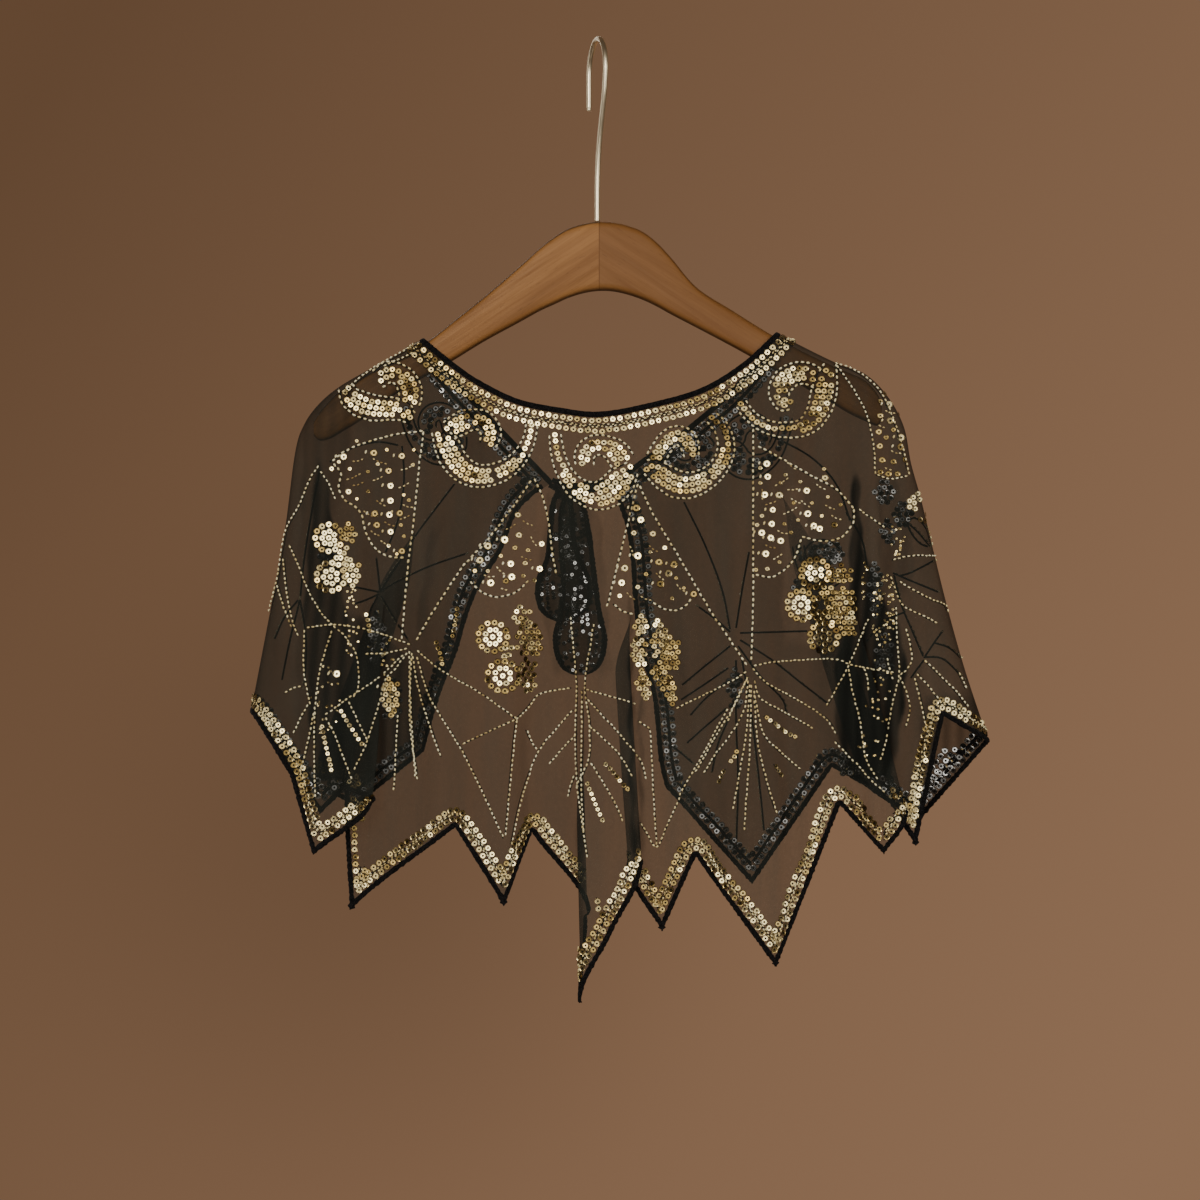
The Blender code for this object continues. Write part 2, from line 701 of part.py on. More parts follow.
def build_hook():
    """Up from the wood, forward round the bend, over the top and straight down behind."""
    radius = HOOK_INNER + HOOK_WIRE / 2
    side_view = [(0.0, HOOK_FOOT), (0.0, -118.0), (-0.4, -105.0), (-2.2, -90.0), (-7.0, -73.0), (-14.0, -56.0), (-20.0, -41.0)]
    for k in range(13):
        a = math.radians(190 - 190 * k / 12)
        side_view.append((radius * math.cos(a), -HOOK_INNER + radius * math.sin(a)))
    side_view += [(radius, -HOOK_INNER - HOOK_LEG * k / 2) for k in (1, 2)]
    path = Curve(
        [(-y * math.sin(HOOK_YAW) - 0.5, y * math.cos(HOOK_YAW), z) for y, z in side_view]
    )(np.linspace(0, 1, 44))
    path[0, 2] = HOOK_FOOT
    add("hanger_hook", *tube(path, HOOK_WIRE / 2, 8), STEEL)


build_cape()
build_binding()
build_ties()
build_hanger()
build_hook()
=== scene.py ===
"""Looks for the sheer sequinned capelet: net, sequins, beads, bindings, hanger and hook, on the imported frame.

Lengths are worked out in millimetres, as in the part, and turned into metres at the end.
Motifs are laid out on the plane that the eye sees, in steps of STEP mm across (u) and down (v) from
the hook, and carried along the eye's rays onto the cloth.
"""

import math

import bpy
import numpy as np
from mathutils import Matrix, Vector
from mathutils.bvhtree import BVHTree


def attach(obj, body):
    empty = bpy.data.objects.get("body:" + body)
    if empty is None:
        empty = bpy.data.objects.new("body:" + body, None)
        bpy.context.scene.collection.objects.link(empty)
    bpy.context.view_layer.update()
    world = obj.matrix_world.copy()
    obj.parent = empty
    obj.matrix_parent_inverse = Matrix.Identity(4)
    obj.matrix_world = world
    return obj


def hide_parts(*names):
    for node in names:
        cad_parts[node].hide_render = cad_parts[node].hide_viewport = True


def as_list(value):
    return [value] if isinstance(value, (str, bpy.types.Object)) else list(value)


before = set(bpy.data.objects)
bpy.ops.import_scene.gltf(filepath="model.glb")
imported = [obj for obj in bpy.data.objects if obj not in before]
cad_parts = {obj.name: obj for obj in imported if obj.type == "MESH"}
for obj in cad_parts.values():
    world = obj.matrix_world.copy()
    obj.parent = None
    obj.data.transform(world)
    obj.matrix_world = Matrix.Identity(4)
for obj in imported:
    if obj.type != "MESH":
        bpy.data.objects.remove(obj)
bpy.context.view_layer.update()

MM = 0.001

# ---------------------------------------------------------------- named sizes, in millimetres
WALL = 1.2  # net with its beading, as a wall
SEAM = 0.3  # between pieces that are sewn together
EYE_X, EYE_Z, EYE_DISTANCE = 1.5, -413.0, 2000.0

ARM_HALF = 6.5  # half the hanger's thickness
ARM_ROUND = 6.2  # how the arm rounds over at its top and underside
OVER_ARM = 2.6  # from the wood to the middle of the cloth on it
CLING = ARM_HALF + OVER_ARM  # how far the cloth stands from the hanger's plane beside an arm
SPREAD, SPREAD_FALL = 25.0, 180.0  # it drifts this much further out, over this drop
ROLL, ROLL_FALL = 46.0, 120.0  # and its side fold opens to this much more, over this drop

TAPE_DEEP, TAPE_THICK = 3.4, 1.8  # the neck binding
TIE_WALL = 1.2
HOOK_WIRE = 3.7
HOOK_INNER = 22.0  # inner radius of the hook
HOOK_LEG = 25.0  # straight end behind, below the bend
HOOK_YAW = math.radians(15.0)
HOOK_FOOT = -132.9  # where the wire meets the wood



def table(columns, *rows):
    """A list of rows, each a dictionary with these columns."""
    names = columns.split()
    return [dict(zip(names, row, strict=True)) for row in rows]


def pick(rows, *names):
    return np.array([[row[n] for n in names] for row in rows], float)


# ---------------------------------------------------------------- outlines of the cloth
SIDE_LEFT = table(
    "place x z",
    ("shoulder", -128.8, -219.8),
    ("on the arm", -159.1, -236.8),
    ("on the arm", -189.4, -253.8),
    ("arm end", -206.5, -267.9),
    ("round the end", -217.6, -283.4),
    ("below it", -224.2, -304.1),
    ("side", -231.6, -360.4),
    ("side", -240.5, -410.0),
    ("side", -253.8, -479.5),
    ("hem", -256.8, -495.8),
)
SIDE_RIGHT = table(
    "place x z",
    ("shoulder", 131.7, -215.4),
    ("on the arm", 173.2, -236.1),
    ("arm end", 197.6, -245.7),
    ("round the end", 214.6, -262.7),
    ("below it", 226.4, -284.9),
    ("side", 231.6, -311.5),
    ("side", 239.0, -338.2),
    ("side", 247.2, -372.2),
    ("side", 258.3, -417.4),
    ("side", 271.6, -464.7),
    ("hem", 289.3, -518.0),
)
NECK_BACK = table(
    "place x z",
    ("left shoulder", -128.8, -219.8),
    ("beside it", -105.8, -238.3),
    ("slope", -87.3, -250.9),
    ("slope", -59.9, -264.2),
    ("low", -28.9, -270.8),
    ("centre back", 1.5, -273.8),
    ("low", 39.2, -267.1),
    ("slope", 77.0, -256.0),
    ("beside it", 107.3, -237.5),
    ("right shoulder", 131.7, -215.4),
)
NECK_FRONT_LEFT = table(
    "place x z",
    ("left shoulder", -128.8, -219.8),
    ("slope", -105.8, -248.6),
    ("slope", -80.7, -276.0),
    ("slope", -48.1, -310.1),
    ("tie", -33.3, -325.6),
)
NECK_FRONT_RIGHT = table(
    "place x z",
    ("right shoulder", 131.7, -215.4),
    ("slope", 101.4, -253.8),
    ("slope", 68.1, -283.4),
    ("slope", 42.9, -301.9),
    ("slope", 28.1, -312.3),
    ("tie", 10.4, -327.1),
)
EDGE_LEFT = table(
    "place x z",
    ("tie", -33.3, -325.6),
    ("swings away", -49.6, -336.7),
    ("edge", -61.4, -350.8),
    ("edge", -71.8, -377.4),
    ("edge", -87.3, -401.8),
    ("edge", -96.9, -425.5),
    ("edge", -104.3, -450.7),
    ("edge", -114.0, -475.1),
    ("edge", -120.6, -494.3),
    ("corner", -128.8, -524.7),
)
EDGE_RIGHT = table(
    "place x z",
    ("tie", 10.4, -327.1),
    ("edge", 15.5, -342.6),
    ("edge", 21.5, -361.9),
    ("edge", 24.4, -383.3),
    ("edge", 26.6, -416.6),
    ("edge", 31.8, -451.4),
    ("edge", 40.7, -486.2),
    ("edge", 45.1, -529.8),
    ("corner", 49.6, -550.6),
)

# The zigzag hem. back is how far a point lies behind the cloth's own sweep, start is the height
# where its fold begins and grow the drop over which the fold reaches its full width.
HEM_BACK = table(
    "place x z back start grow",
    ("left side", -256.8, -495.8, 0, -330, 160),
    ("bend", -227.9, -542.4, -3, -330, 160),
    ("tip", -210.9, -601.6, -8, -330, 180),
    ("front of pleat", -167.2, -561.7, -4, -350, 190),
    ("back of pleat", -187.5, -552.0, 6, -350, 190),
    ("large tip", -183.5, -642.3, 11, -350, 190),
    ("notch", -105.8, -580.9, 1, -330, 240),
    ("tip", -69.6, -639.4, -5, -330, 240),
    ("notch", -48.8, -584.6, 6, -380, 160),
    ("behind the strip", -8.0, -646.0, 4, -470, 110),
    ("centre tip", -12.6, -711.1, -4, -470, 110),
    ("side of the tip", 10.0, -659.7, -7, -430, 90),
    ("front of strip", 32.6, -608.3, -3, -400, 70),
    ("back of strip", 22.6, -611.2, 4, -400, 70),
    ("tip", 47.4, -657.9, 8, -400, 160),
    ("notch", 72.5, -602.4, -3, -330, 240),
    ("large tip", 131.7, -684.5, -5, -330, 260),
    ("notch", 179.1, -564.6, 3, -330, 220),
    ("tip", 211.6, -600.9, -7, -330, 200),
    ("front of pleat", 228.7, -573.0, -3, -360, 150),
    ("back of pleat", 219.0, -563.0, 5, -360, 150),
    ("curled tip", 235.3, -595.0, 8, -360, 150),
    ("notch", 256.0, -498.8, -3, -330, 140),
    ("right side", 289.3, -518.0, 0, -330, 140),
)
HEM_FRONT_LEFT = table(
    "place x z back start grow",
    ("left side", -256.8, -495.8, 0, -330, 160),
    ("large tip", -205.7, -571.3, -4, -330, 200),
    ("turn of pleat", -187.2, -548.0, 1, -318, 90),
    ("back of pleat", -212.4, -545.0, 9, -318, 90),
    ("tip", -179.1, -565.4, 13, -330, 160),
    ("corner", -128.8, -524.7, 2, -330, 190),
)
HEM_FRONT_RIGHT = table(
    "place x z back start grow",
    ("right side", 289.3, -518.0, 0, -330, 140),
    ("large tip", 236.8, -577.2, -4, -330, 200),
    ("turn of pleat", 193.2, -541.0, 1, -288, 110),
    ("back of pleat", 218.3, -547.0, 9, -288, 110),
    ("tip", 212.0, -559.0, 13, -330, 160),
    ("notch", 173.2, -536.5, 2, -330, 200),
    ("large tip", 114.0, -623.1, -3, -330, 220),
    ("corner", 49.6, -550.6, 0, -330, 220),
)

# The largest soft folds, from their upper to their lower end. depth is + away from the eye.
FOLDS_BACK = table(
    "place x0 z0 x1 z1 wide depth",
    ("from the arm end", -205.0, -300.0, -222.0, -560.0, 26, 6.0),
    ("left flute", -140.0, -330.0, -145.0, -640.0, 34, 6.5),
    ("left centre", -70.0, -300.0, -88.0, -620.0, 30, -5.0),
    ("centre", -30.0, -330.0, -30.0, -640.0, 24, 5.0),
    ("right centre", 60.0, -330.0, 72.0, -610.0, 26, 6.0),
    ("right flute", 120.0, -310.0, 112.0, -650.0, 36, -5.5),
    ("right flute", 150.0, -300.0, 160.0, -600.0, 26, 6.0),
    ("from the arm end", 208.0, -290.0, 246.0, -560.0, 24, 6.5),
)
FOLDS_FRONT = table(
    "place x0 z0 x1 z1 wide depth",
    ("left front", -110.0, -300.0, -150.0, -560.0, 34, 5.5),
    ("left front", -160.0, -290.0, -172.0, -560.0, 22, -4.5),
    ("left side", -215.0, -310.0, -235.0, -540.0, 20, -5.0),
    ("right front", 70.0, -320.0, 85.0, -600.0, 30, -5.0),
    ("right front", 110.0, -290.0, 138.0, -600.0, 34, 5.5),
    ("right front", 160.0, -290.0, 168.0, -560.0, 24, -5.0),
    ("right side", 222.0, -300.0, 258.0, -540.0, 22, -5.0),
)

# ---------------------------------------------------------------- the hanger, tilted 1 degree as it hangs
ARMS = table(
    "place x top under",
    ("left end", -210.0, -280.5, -291.5),
    ("left end", -206.0, -274.0, -295.0),
    ("left arm", -198.0, -265.0, -293.5),
    ("left arm", -189.4, -257.0, -288.5),
    ("left arm", -174.0, -248.0, -279.0),
    ("left arm", -159.1, -240.0, -267.5),
    ("left arm", -143.5, -231.6, -256.5),
    ("left arm", -125.1, -221.0, -246.0),
    ("left arm", -106.0, -206.0, -235.0),
    ("left arm", -84.0, -188.5, -221.5),
    ("left arm", -59.2, -167.2, -208.0),
    ("left arm", -42.9, -152.4, -199.0),
    ("left hump", -32.0, -144.2, -194.0),
    ("left hump", -22.2, -138.4, -189.5),
    ("left hump", -11.0, -134.8, -186.0),
    ("middle", 0.0, -133.2, -184.3),
    ("right hump", 11.0, -133.6, -184.6),
    ("right hump", 22.0, -136.0, -187.0),
    ("right hump", 33.3, -140.6, -190.9),
    ("right hump", 44.0, -149.0, -196.0),
    ("right arm", 54.8, -160.6, -202.0),
    ("right arm", 73.3, -182.0, -211.6),
    ("right arm", 99.9, -199.1, -225.7),
    ("right arm", 127.3, -216.2, -241.0),
    ("right arm", 150.0, -228.4, -254.0),
    ("right arm", 173.2, -239.6, -267.5),
    ("right arm", 187.0, -245.4, -275.5),
    ("right arm", 197.6, -250.5, -280.5),
    ("right end", 206.0, -259.5, -284.0),
    ("right end", 209.5, -267.0, -281.0),
)

# Each tie as a flat strip: its middle line, its width and how far behind the hanger it hangs.
TIE_LEFT = table(
    "place x z back wide",
    ("front corner", -35.0, -325.8, 24.9, 8),
    ("knot", -26.5, -331.0, 25.8, 9),
    ("below the knot", -26.8, -343.0, 26.4, 17),
    ("strap", -27.0, -366.0, 27.0, 21),
    ("strap", -26.0, -382.0, 27.6, 27),
    ("lobe", -25.6, -396.0, 28.0, 39),
    ("lobe", -25.2, -410.0, 28.2, 42),
    ("lobe", -24.0, -421.0, 28.2, 34),
    ("end", -22.8, -428.4, 28.0, 12),
)
TIE_RIGHT = table(
    "place x z back wide",
    ("front corner", 10.5, -327.0, 24.9, 8),
    ("strap to the knot", -4.0, -329.0, 26.6, 8),
    ("knot", -17.0, -332.0, 28.4, 9),
    ("below the knot", -18.6, -345.0, 29.4, 20),
    ("strap", -16.6, -370.0, 30.6, 25),
    ("strap", -14.0, -400.0, 31.2, 27),
    ("lobe", -13.4, -424.0, 31.6, 33),
    ("lobe", -13.3, -441.0, 31.8, 40),
    ("lobe", -13.3, -455.0, 31.8, 36),
    ("lobe", -13.3, -464.0, 31.8, 26),
    ("end", -13.3, -468.4, 31.8, 10),
)


# ---------------------------------------------------------------- curves and the cloth's sweep
class Curve:
    """A smooth curve through points, read by the share of its length."""

    def __init__(self, points):
        p = np.asarray(points, float)
        q = np.vstack([2 * p[0] - p[1], p, 2 * p[-1] - p[-2]])
        made = []
        for a, b, c, d in zip(q[:-3], q[1:-2], q[2:-1], q[3:], strict=True):
            for t in np.arange(0, 1, 1 / 16):
                made.append(
                    b
                    + 0.5 * t * (c - a)
                    + 0.5 * t * t * (2 * a - 5 * b + 4 * c - d)
                    + 0.5 * t**3 * (3 * b - 3 * c + d - a)
                )
        made.append(p[-1])
        self.points = np.array(made)
        steps = np.linalg.norm(np.diff(self.points, axis=0), axis=1)
        self.at = np.concatenate([[0], np.cumsum(steps)])
        self.length = self.at[-1]
        self.at = self.at / self.length

    def __call__(self, share):
        share = np.asarray(share, float)
        return np.stack(
            [
                np.interp(share, self.at, self.points[:, k])
                for k in range(self.points.shape[1])
            ],
            axis=-1,
        )


def smooth_step(value):
    value = np.clip(value, 0, 1)
    return value * value * (3 - 2 * value)


def from_line(points, line):
    """The distance of each point from a line through points."""
    start, run = line[:-1], np.diff(line, axis=0)
    rel = points[..., None, :] - start
    share = np.clip((rel * run).sum(-1) / (run * run).sum(-1), 0, 1)
    return np.linalg.norm(rel - share[..., None] * run, axis=-1).min(-1)


LEFT, RIGHT = Curve(pick(SIDE_LEFT, "x", "z")), Curve(pick(SIDE_RIGHT, "x", "z"))
HUMP = pick([r for r in ARMS if -125 < r["x"] < 127], "x", "top")
OUTLINE = np.vstack([LEFT.points[::-1], HUMP, RIGHT.points])


def fullness(x, z):
    """How far the cloth stands from the hanger's plane at a place seen from the front, and how near the side fold it is, from 0 on the fold to 1 clear of it."""
    under = np.interp(x, pick(ARMS, "x")[:, 0], pick(ARMS, "under")[:, 0])
    below = np.maximum(under - z, 0)
    out = CLING + SPREAD * (1 - np.exp(-below / SPREAD_FALL))
    roll = CLING + ROLL * (1 - np.exp(-below / ROLL_FALL))
    turn = np.clip(from_line(np.stack([x, z], -1), OUTLINE) / roll, 0, 1)
    clear = np.sqrt(1 - (1 - turn) ** 2)
    return out * clear, clear


def soft_fold(x, z, fold):
    """A cosine trough or ridge along a line, from nothing at its upper end to its full depth below."""
    start, end = np.array([fold["x0"], fold["z0"]]), np.array([fold["x1"], fold["z1"]])
    down = np.clip((start[1] - z) / (start[1] - end[1]), 0, 1.2)
    off = np.abs(x - (start[0] + (end[0] - start[0]) * down)) / fold["wide"]
    return (
        fold["depth"]
        * smooth_step(down * 1.6)
        * np.where(off < 1, 0.5 + 0.5 * np.cos(np.pi * np.clip(off, 0, 1)), 0)
    )


def to_the_eye(x, y, z):
    near = (EYE_DISTANCE + y) / EYE_DISTANCE
    return np.stack([EYE_X + (x - EYE_X) * near, y, EYE_Z + (z - EYE_Z) * near], -1)


class Panel:
    """One face of the capelet, from the fold over a hanger arm to its other side. side is -1 towards the eye and +1 behind the hanger."""

    def __init__(self, side, first, last, neck, hem, folds):
        self.side, self.first, self.last, self.neck = side, first, last, neck
        self.folds = folds
        self.rows = pick(hem, "x", "z", "back", "start", "grow")
        run = np.diff(self.rows[:, [0, 2]], axis=0)
        run[:, 1] = np.abs(run[:, 1])
        self.widths = np.maximum(np.linalg.norm(run, axis=1), 6.0)
        self.at = np.concatenate([[0], np.cumsum(self.widths)])
        self.cloth = self.at[-1]
        self.at = self.at / self.cloth
        self.plan = self.rounded(self.rows[:, [0, 2]])

    def rounded(self, points):
        """The hem's plan as smooth turns through its rows, one cubic each, that never swings past a row."""
        slope = np.zeros_like(points)
        rise = np.diff(points, axis=0) / np.diff(self.at)[:, None]
        same = rise[:-1] * rise[1:] > 0
        both = np.where(same, rise[:-1] + rise[1:], 1)
        slope[1:-1] = np.where(same, 2 * rise[:-1] * rise[1:] / both, 0)
        slope[0], slope[-1] = rise[0], rise[-1]
        return points, slope

    def hem(self, s):
        """x, z, back, start and grow of the hem at each share s of the cloth's width."""
        k = np.clip(np.searchsorted(self.at, s, side="right") - 1, 0, len(self.at) - 2)
        gap = self.at[k + 1] - self.at[k]
        t = ((s - self.at[k]) / gap)[..., None]
        points, slope = self.plan
        plan = (
            (2 * t**3 - 3 * t**2 + 1) * points[k]
            + (t**3 - 2 * t**2 + t) * slope[k] * gap[..., None]
            + (3 * t**2 - 2 * t**3) * points[k + 1]
            + (t**3 - t**2) * slope[k + 1] * gap[..., None]
        )
        rest = (1 - t) * self.rows[k][..., [1, 3, 4]] + t * self.rows[k + 1][
            ..., [1, 3, 4]
        ]
        return plan[..., 0], rest[..., 0], plan[..., 1], rest[..., 1], rest[..., 2]

    def place(self, s, t):
        """The middle of the cloth at share s of its width and t of its drop, in mm."""
        s, t = np.broadcast_arrays(np.asarray(s, float), np.asarray(t, float))
        x_hem, z_hem, back, start, grow = self.hem(s)
        top = self.neck(s)
        ends = self.first(1.0), self.last(1.0)
        x_even = (1 - s) * ends[0][0] + s * ends[1][0]
        z = (1 - t) * top[..., 1] + t * z_hem
        x = (1 - t) * top[..., 0] + t * x_even
        for curve, share in ((self.first, 1 - s), (self.last, s)):
            chord = (1 - t)[..., None] * curve(0.0) + t[..., None] * curve(1.0)
            bow = (curve(t) - chord) * (share**3)[..., None]
            x, z = x + bow[..., 0], z + bow[..., 1]
        folded = smooth_step((start - z) / grow)
        x = x + (x_hem - x_even) * folded
        out, clear = fullness(x, z)
        y = self.side * out + back * folded * clear
        for fold in self.folds:
            y = y + soft_fold(x, z, fold) * clear
        return to_the_eye(x, y, z)


CAPE = {
    "cape_back": Panel(
        -1, LEFT, RIGHT, Curve(pick(NECK_BACK, "x", "z")), HEM_BACK, FOLDS_BACK
    ),
    "cape_front_left": Panel(
        1,
        LEFT,
        Curve(pick(EDGE_LEFT, "x", "z")),
        Curve(pick(NECK_FRONT_LEFT, "x", "z")),
        HEM_FRONT_LEFT,
        FOLDS_FRONT,
    ),
    "cape_front_right": Panel(
        1,
        RIGHT,
        Curve(pick(EDGE_RIGHT, "x", "z")),
        Curve(pick(NECK_FRONT_RIGHT, "x", "z")),
        HEM_FRONT_RIGHT,
        FOLDS_FRONT,
    ),
}



# ---------------------------------------------------------------- small creases, only for the looks
CREASES_BACK = table(
    "place x0 z0 x1 z1 wide depth",
    ("left side", -178.0, -330.0, -196.0, -560.0, 11, 2.6),
    ("left side", -232.0, -380.0, -236.0, -520.0, 9, -1.8),
    ("left flute", -118.0, -360.0, -122.0, -600.0, 12, -2.2),
    ("left of centre", -52.0, -470.0, -50.0, -620.0, 8, 2.4),
    ("left of centre", -88.0, -300.0, -98.0, -470.0, 16, -1.6),
    ("below the scroll", -36.0, -320.0, -44.0, -430.0, 14, 1.4),
    ("centre", 2.0, -330.0, 4.0, -520.0, 15, -1.9),
    ("right of centre", 34.0, -340.0, 30.0, -480.0, 10, -1.5),
    ("right of centre", 88.0, -350.0, 96.0, -560.0, 13, -2.0),
    ("right flute", 134.0, -420.0, 141.0, -610.0, 10, 2.4),
    ("below the arm", 194.0, -280.0, 195.0, -400.0, 7, 3.0),
    ("below the arm", 205.0, -290.0, 207.0, -420.0, 8, -2.4),
    ("right side", 226.0, -330.0, 243.0, -470.0, 12, -2.2),
    ("right side", 246.0, -420.0, 262.0, -510.0, 9, 1.8),
    ("left shoulder", -158.0, -262.0, -166.0, -380.0, 14, 1.7),
    ("right shoulder", 168.0, -262.0, 172.0, -380.0, 12, -1.6),
)
CREASES_FRONT = table(
    "place x0 z0 x1 z1 wide depth",
    ("left front", -92.0, -330.0, -118.0, -500.0, 12, -1.9),
    ("left front", -132.0, -300.0, -140.0, -540.0, 10, 2.2),
    ("left front", -148.0, -360.0, -156.0, -540.0, 9, -2.0),
    ("left front", -186.0, -280.0, -196.0, -500.0, 12, 2.4),
    ("left front", -224.0, -340.0, -238.0, -520.0, 10, 1.6),
    ("right front", 46.0, -350.0, 62.0, -540.0, 12, 1.9),
    ("right front", 92.0, -340.0, 104.0, -600.0, 11, 2.4),
    ("right front", 136.0, -380.0, 146.0, -560.0, 10, -2.0),
    ("right front", 186.0, -270.0, 190.0, -500.0, 9, 2.2),
    ("right front", 208.0, -300.0, 222.0, -520.0, 11, 1.8),
    ("right front", 246.0, -400.0, 268.0, -520.0, 9, -1.6),
)
CAPE["cape_back"].folds = FOLDS_BACK + CREASES_BACK
for side in ("cape_front_left", "cape_front_right"):
    CAPE[side].folds = FOLDS_FRONT + CREASES_FRONT

STEP = 0.74  # one step of u and v, in mm on the hanger's plane
EYE = np.array([EYE_X, -EYE_DISTANCE, EYE_Z])
DICE = np.random.default_rng(11)


def unit(v):
    return v / np.maximum(np.linalg.norm(v, axis=-1, keepdims=True), 1e-9)


def seen(uv):
    """Points on the hanger's plane in mm, from steps across and down."""
    uv = np.asarray(uv, float)
    return np.stack(
        [(uv[..., 0] - 598) * STEP, np.zeros(uv.shape[:-1]), (42 - uv[..., 1]) * STEP], -1
    )


def unseen(points):
    """Steps across and down at which the eye sees points in mm."""
    k = EYE_DISTANCE / (EYE_DISTANCE + points[..., 1])
    x = EYE_X + (points[..., 0] - EYE_X) * k
    z = EYE_Z + (points[..., 2] - EYE_Z) * k
    return np.stack([x / STEP + 598, 42 - z / STEP], -1)


# ---------------------------------------------------------------- camera, light, stage
def look_from(name, data, place, at):
    made = bpy.data.objects.new(name, data)
    bpy.context.scene.collection.objects.link(made)
    made.location = place
    made.rotation_euler = (Vector(at) - Vector(place)).to_track_quat("-Z", "Y").to_euler()
    return made


def build_view():
    eye = bpy.data.cameras.new("view")
    eye.sensor_width = 36.0
    eye.lens = 36.0 * EYE_DISTANCE / (1200 * STEP)
    eye.clip_start, eye.clip_end = 0.05, 30
    x = (600 - 598) * STEP * MM
    z = (42 - 600) * STEP * MM
    camera = look_from("view", eye, (x, -EYE_DISTANCE * MM, z), (x, 0, z))
    bpy.context.scene.camera = camera

    def panel(name, place, wide, tall, watts, colour):
        light = bpy.data.lights.new(name, "AREA")
        light.shape, light.size, light.size_y = "RECTANGLE", wide, tall
        light.energy, light.color = watts, colour
        look_from(name, light, place, (0, 0, -0.42))

    panel("front", (-0.25, -2.9, -0.05), 2.6, 2.2, 39, (1.0, 0.98, 0.95))
    panel("key", (-0.95, -2.35, 0.45), 0.9, 0.8, 24, (1.0, 0.97, 0.92))
    panel("fill", (1.8, -1.7, 0.1), 1.2, 1.6, 13, (1.0, 0.96, 0.90))
    panel("back", (-0.6, 2.4, 0.5), 1.6, 1.6, 12, (1.0, 0.97, 0.93))
    panel("side", (-2.3, 0.2, -0.2), 0.8, 1.6, 6, (1.0, 0.97, 0.93))

    world = bpy.data.worlds.new("studio")
    bpy.context.scene.world = world
    world.use_nodes = True
    nodes, links = world.node_tree.nodes, world.node_tree.links
    shade = nodes["Background"]
    place = nodes.new("ShaderNodeTexCoord")
    slope = nodes.new("ShaderNodeVectorMath")
    slope.operation = "DOT_PRODUCT"
    slope.inputs[1].default_value = (1.6, 0.0, -1.1)
    across = nodes.new("ShaderNodeMapRange")
    ramp = nodes.new("ShaderNodeMix")
    ramp.data_type = "RGBA"
    links.new(place.outputs["Generated"], slope.inputs[0])
    links.new(slope.outputs["Value"], across.inputs["Value"])
    across.inputs["From Min"].default_value = -0.52
    across.inputs["From Max"].default_value = 0.52
    links.new(across.outputs["Result"], ramp.inputs["Factor"])
    ramp.inputs[6].default_value = (0.132, 0.0715, 0.0385, 1)
    ramp.inputs[7].default_value = (0.281, 0.159, 0.090, 1)
    # Painted shadow: a soft dark patch in the backdrop colour behind the lower left of the cape.
    apart = nodes.new("ShaderNodeVectorMath")
    apart.operation = "DISTANCE"
    apart.inputs[1].default_value = (-0.083, 0.991, -0.092)
    links.new(place.outputs["Generated"], apart.inputs[0])
    fade = nodes.new("ShaderNodeMapRange")
    fade.interpolation_type = "SMOOTHSTEP"
    links.new(apart.outputs["Value"], fade.inputs["Value"])
    fade.inputs["From Max"].default_value = 0.165
    fade.inputs["To Min"].default_value = 0.24
    fade.inputs["To Max"].default_value = 0.0
    wall_shadow = nodes.new("ShaderNodeMix")  # softly darker behind the lower left of the cape
    wall_shadow.data_type = "RGBA"
    links.new(fade.outputs["Result"], wall_shadow.inputs["Factor"])
    links.new(ramp.outputs[2], wall_shadow.inputs[6])
    wall_shadow.inputs[7].default_value = (0.030, 0.017, 0.010, 1)
    parts = nodes.new("ShaderNodeSeparateXYZ")
    links.new(place.outputs["Generated"], parts.inputs[0])
    depth = nodes.new("ShaderNodeMapRange")
    links.new(parts.outputs["Y"], depth.inputs["Value"])
    depth.inputs["From Min"].default_value = 0.35
    depth.inputs["From Max"].default_value = 0.80
    room = nodes.new("ShaderNodeMix")
    room.data_type = "RGBA"
    links.new(depth.outputs["Result"], room.inputs["Factor"])
    room.inputs[6].default_value = (0.062, 0.044, 0.031, 1)
    links.new(wall_shadow.outputs[2], room.inputs[7])
    links.new(room.outputs[2], shade.inputs["Color"])
    shade.inputs["Strength"].default_value = 1.0

    rings, around = 5, 64
    points = [(0.0, 0.0, 0.0)]
    for i in range(1, rings + 1):
        for k in range(around):
            a = 2 * math.pi * k / around
            points.append((520 * i / rings * math.cos(a), 520 * i / rings * math.sin(a), 0.0))
    faces = [(0, 1 + k, 1 + (k + 1) % around) for k in range(around)]
    for i in range(rings - 1):
        for k in range(around):
            a, b = 1 + i * around + k, 1 + i * around + (k + 1) % around
            faces += [(a, a + around, b + around), (a, b + around, b)]
    floor = add("floor", np.array(points) + (0, 0, -1010.0), np.array(faces), plain("floor", (0.62, 0.57, 0.52), 0.8))


# ---------------------------------------------------------------- materials
def shader_of(name):
    made = bpy.data.materials.new(name)
    made.use_nodes = True
    tree = made.node_tree
    return made, tree.nodes, tree.links, tree.nodes["Principled BSDF"]


def plain(name, colour, roughness):
    made, nodes, links, shader = shader_of(name)
    noise = nodes.new("ShaderNodeTexNoise")
    noise.inputs["Scale"].default_value = 9.0
    mix = nodes.new("ShaderNodeMix")
    mix.data_type = "RGBA"
    links.new(noise.outputs["Fac"], mix.inputs["Factor"])
    mix.inputs[6].default_value = (*[c * 0.96 for c in colour], 1)
    mix.inputs[7].default_value = (*[min(c * 1.04, 1) for c in colour], 1)
    links.new(mix.outputs[2], shader.inputs["Base Color"])
    shader.inputs["Roughness"].default_value = roughness
    return made


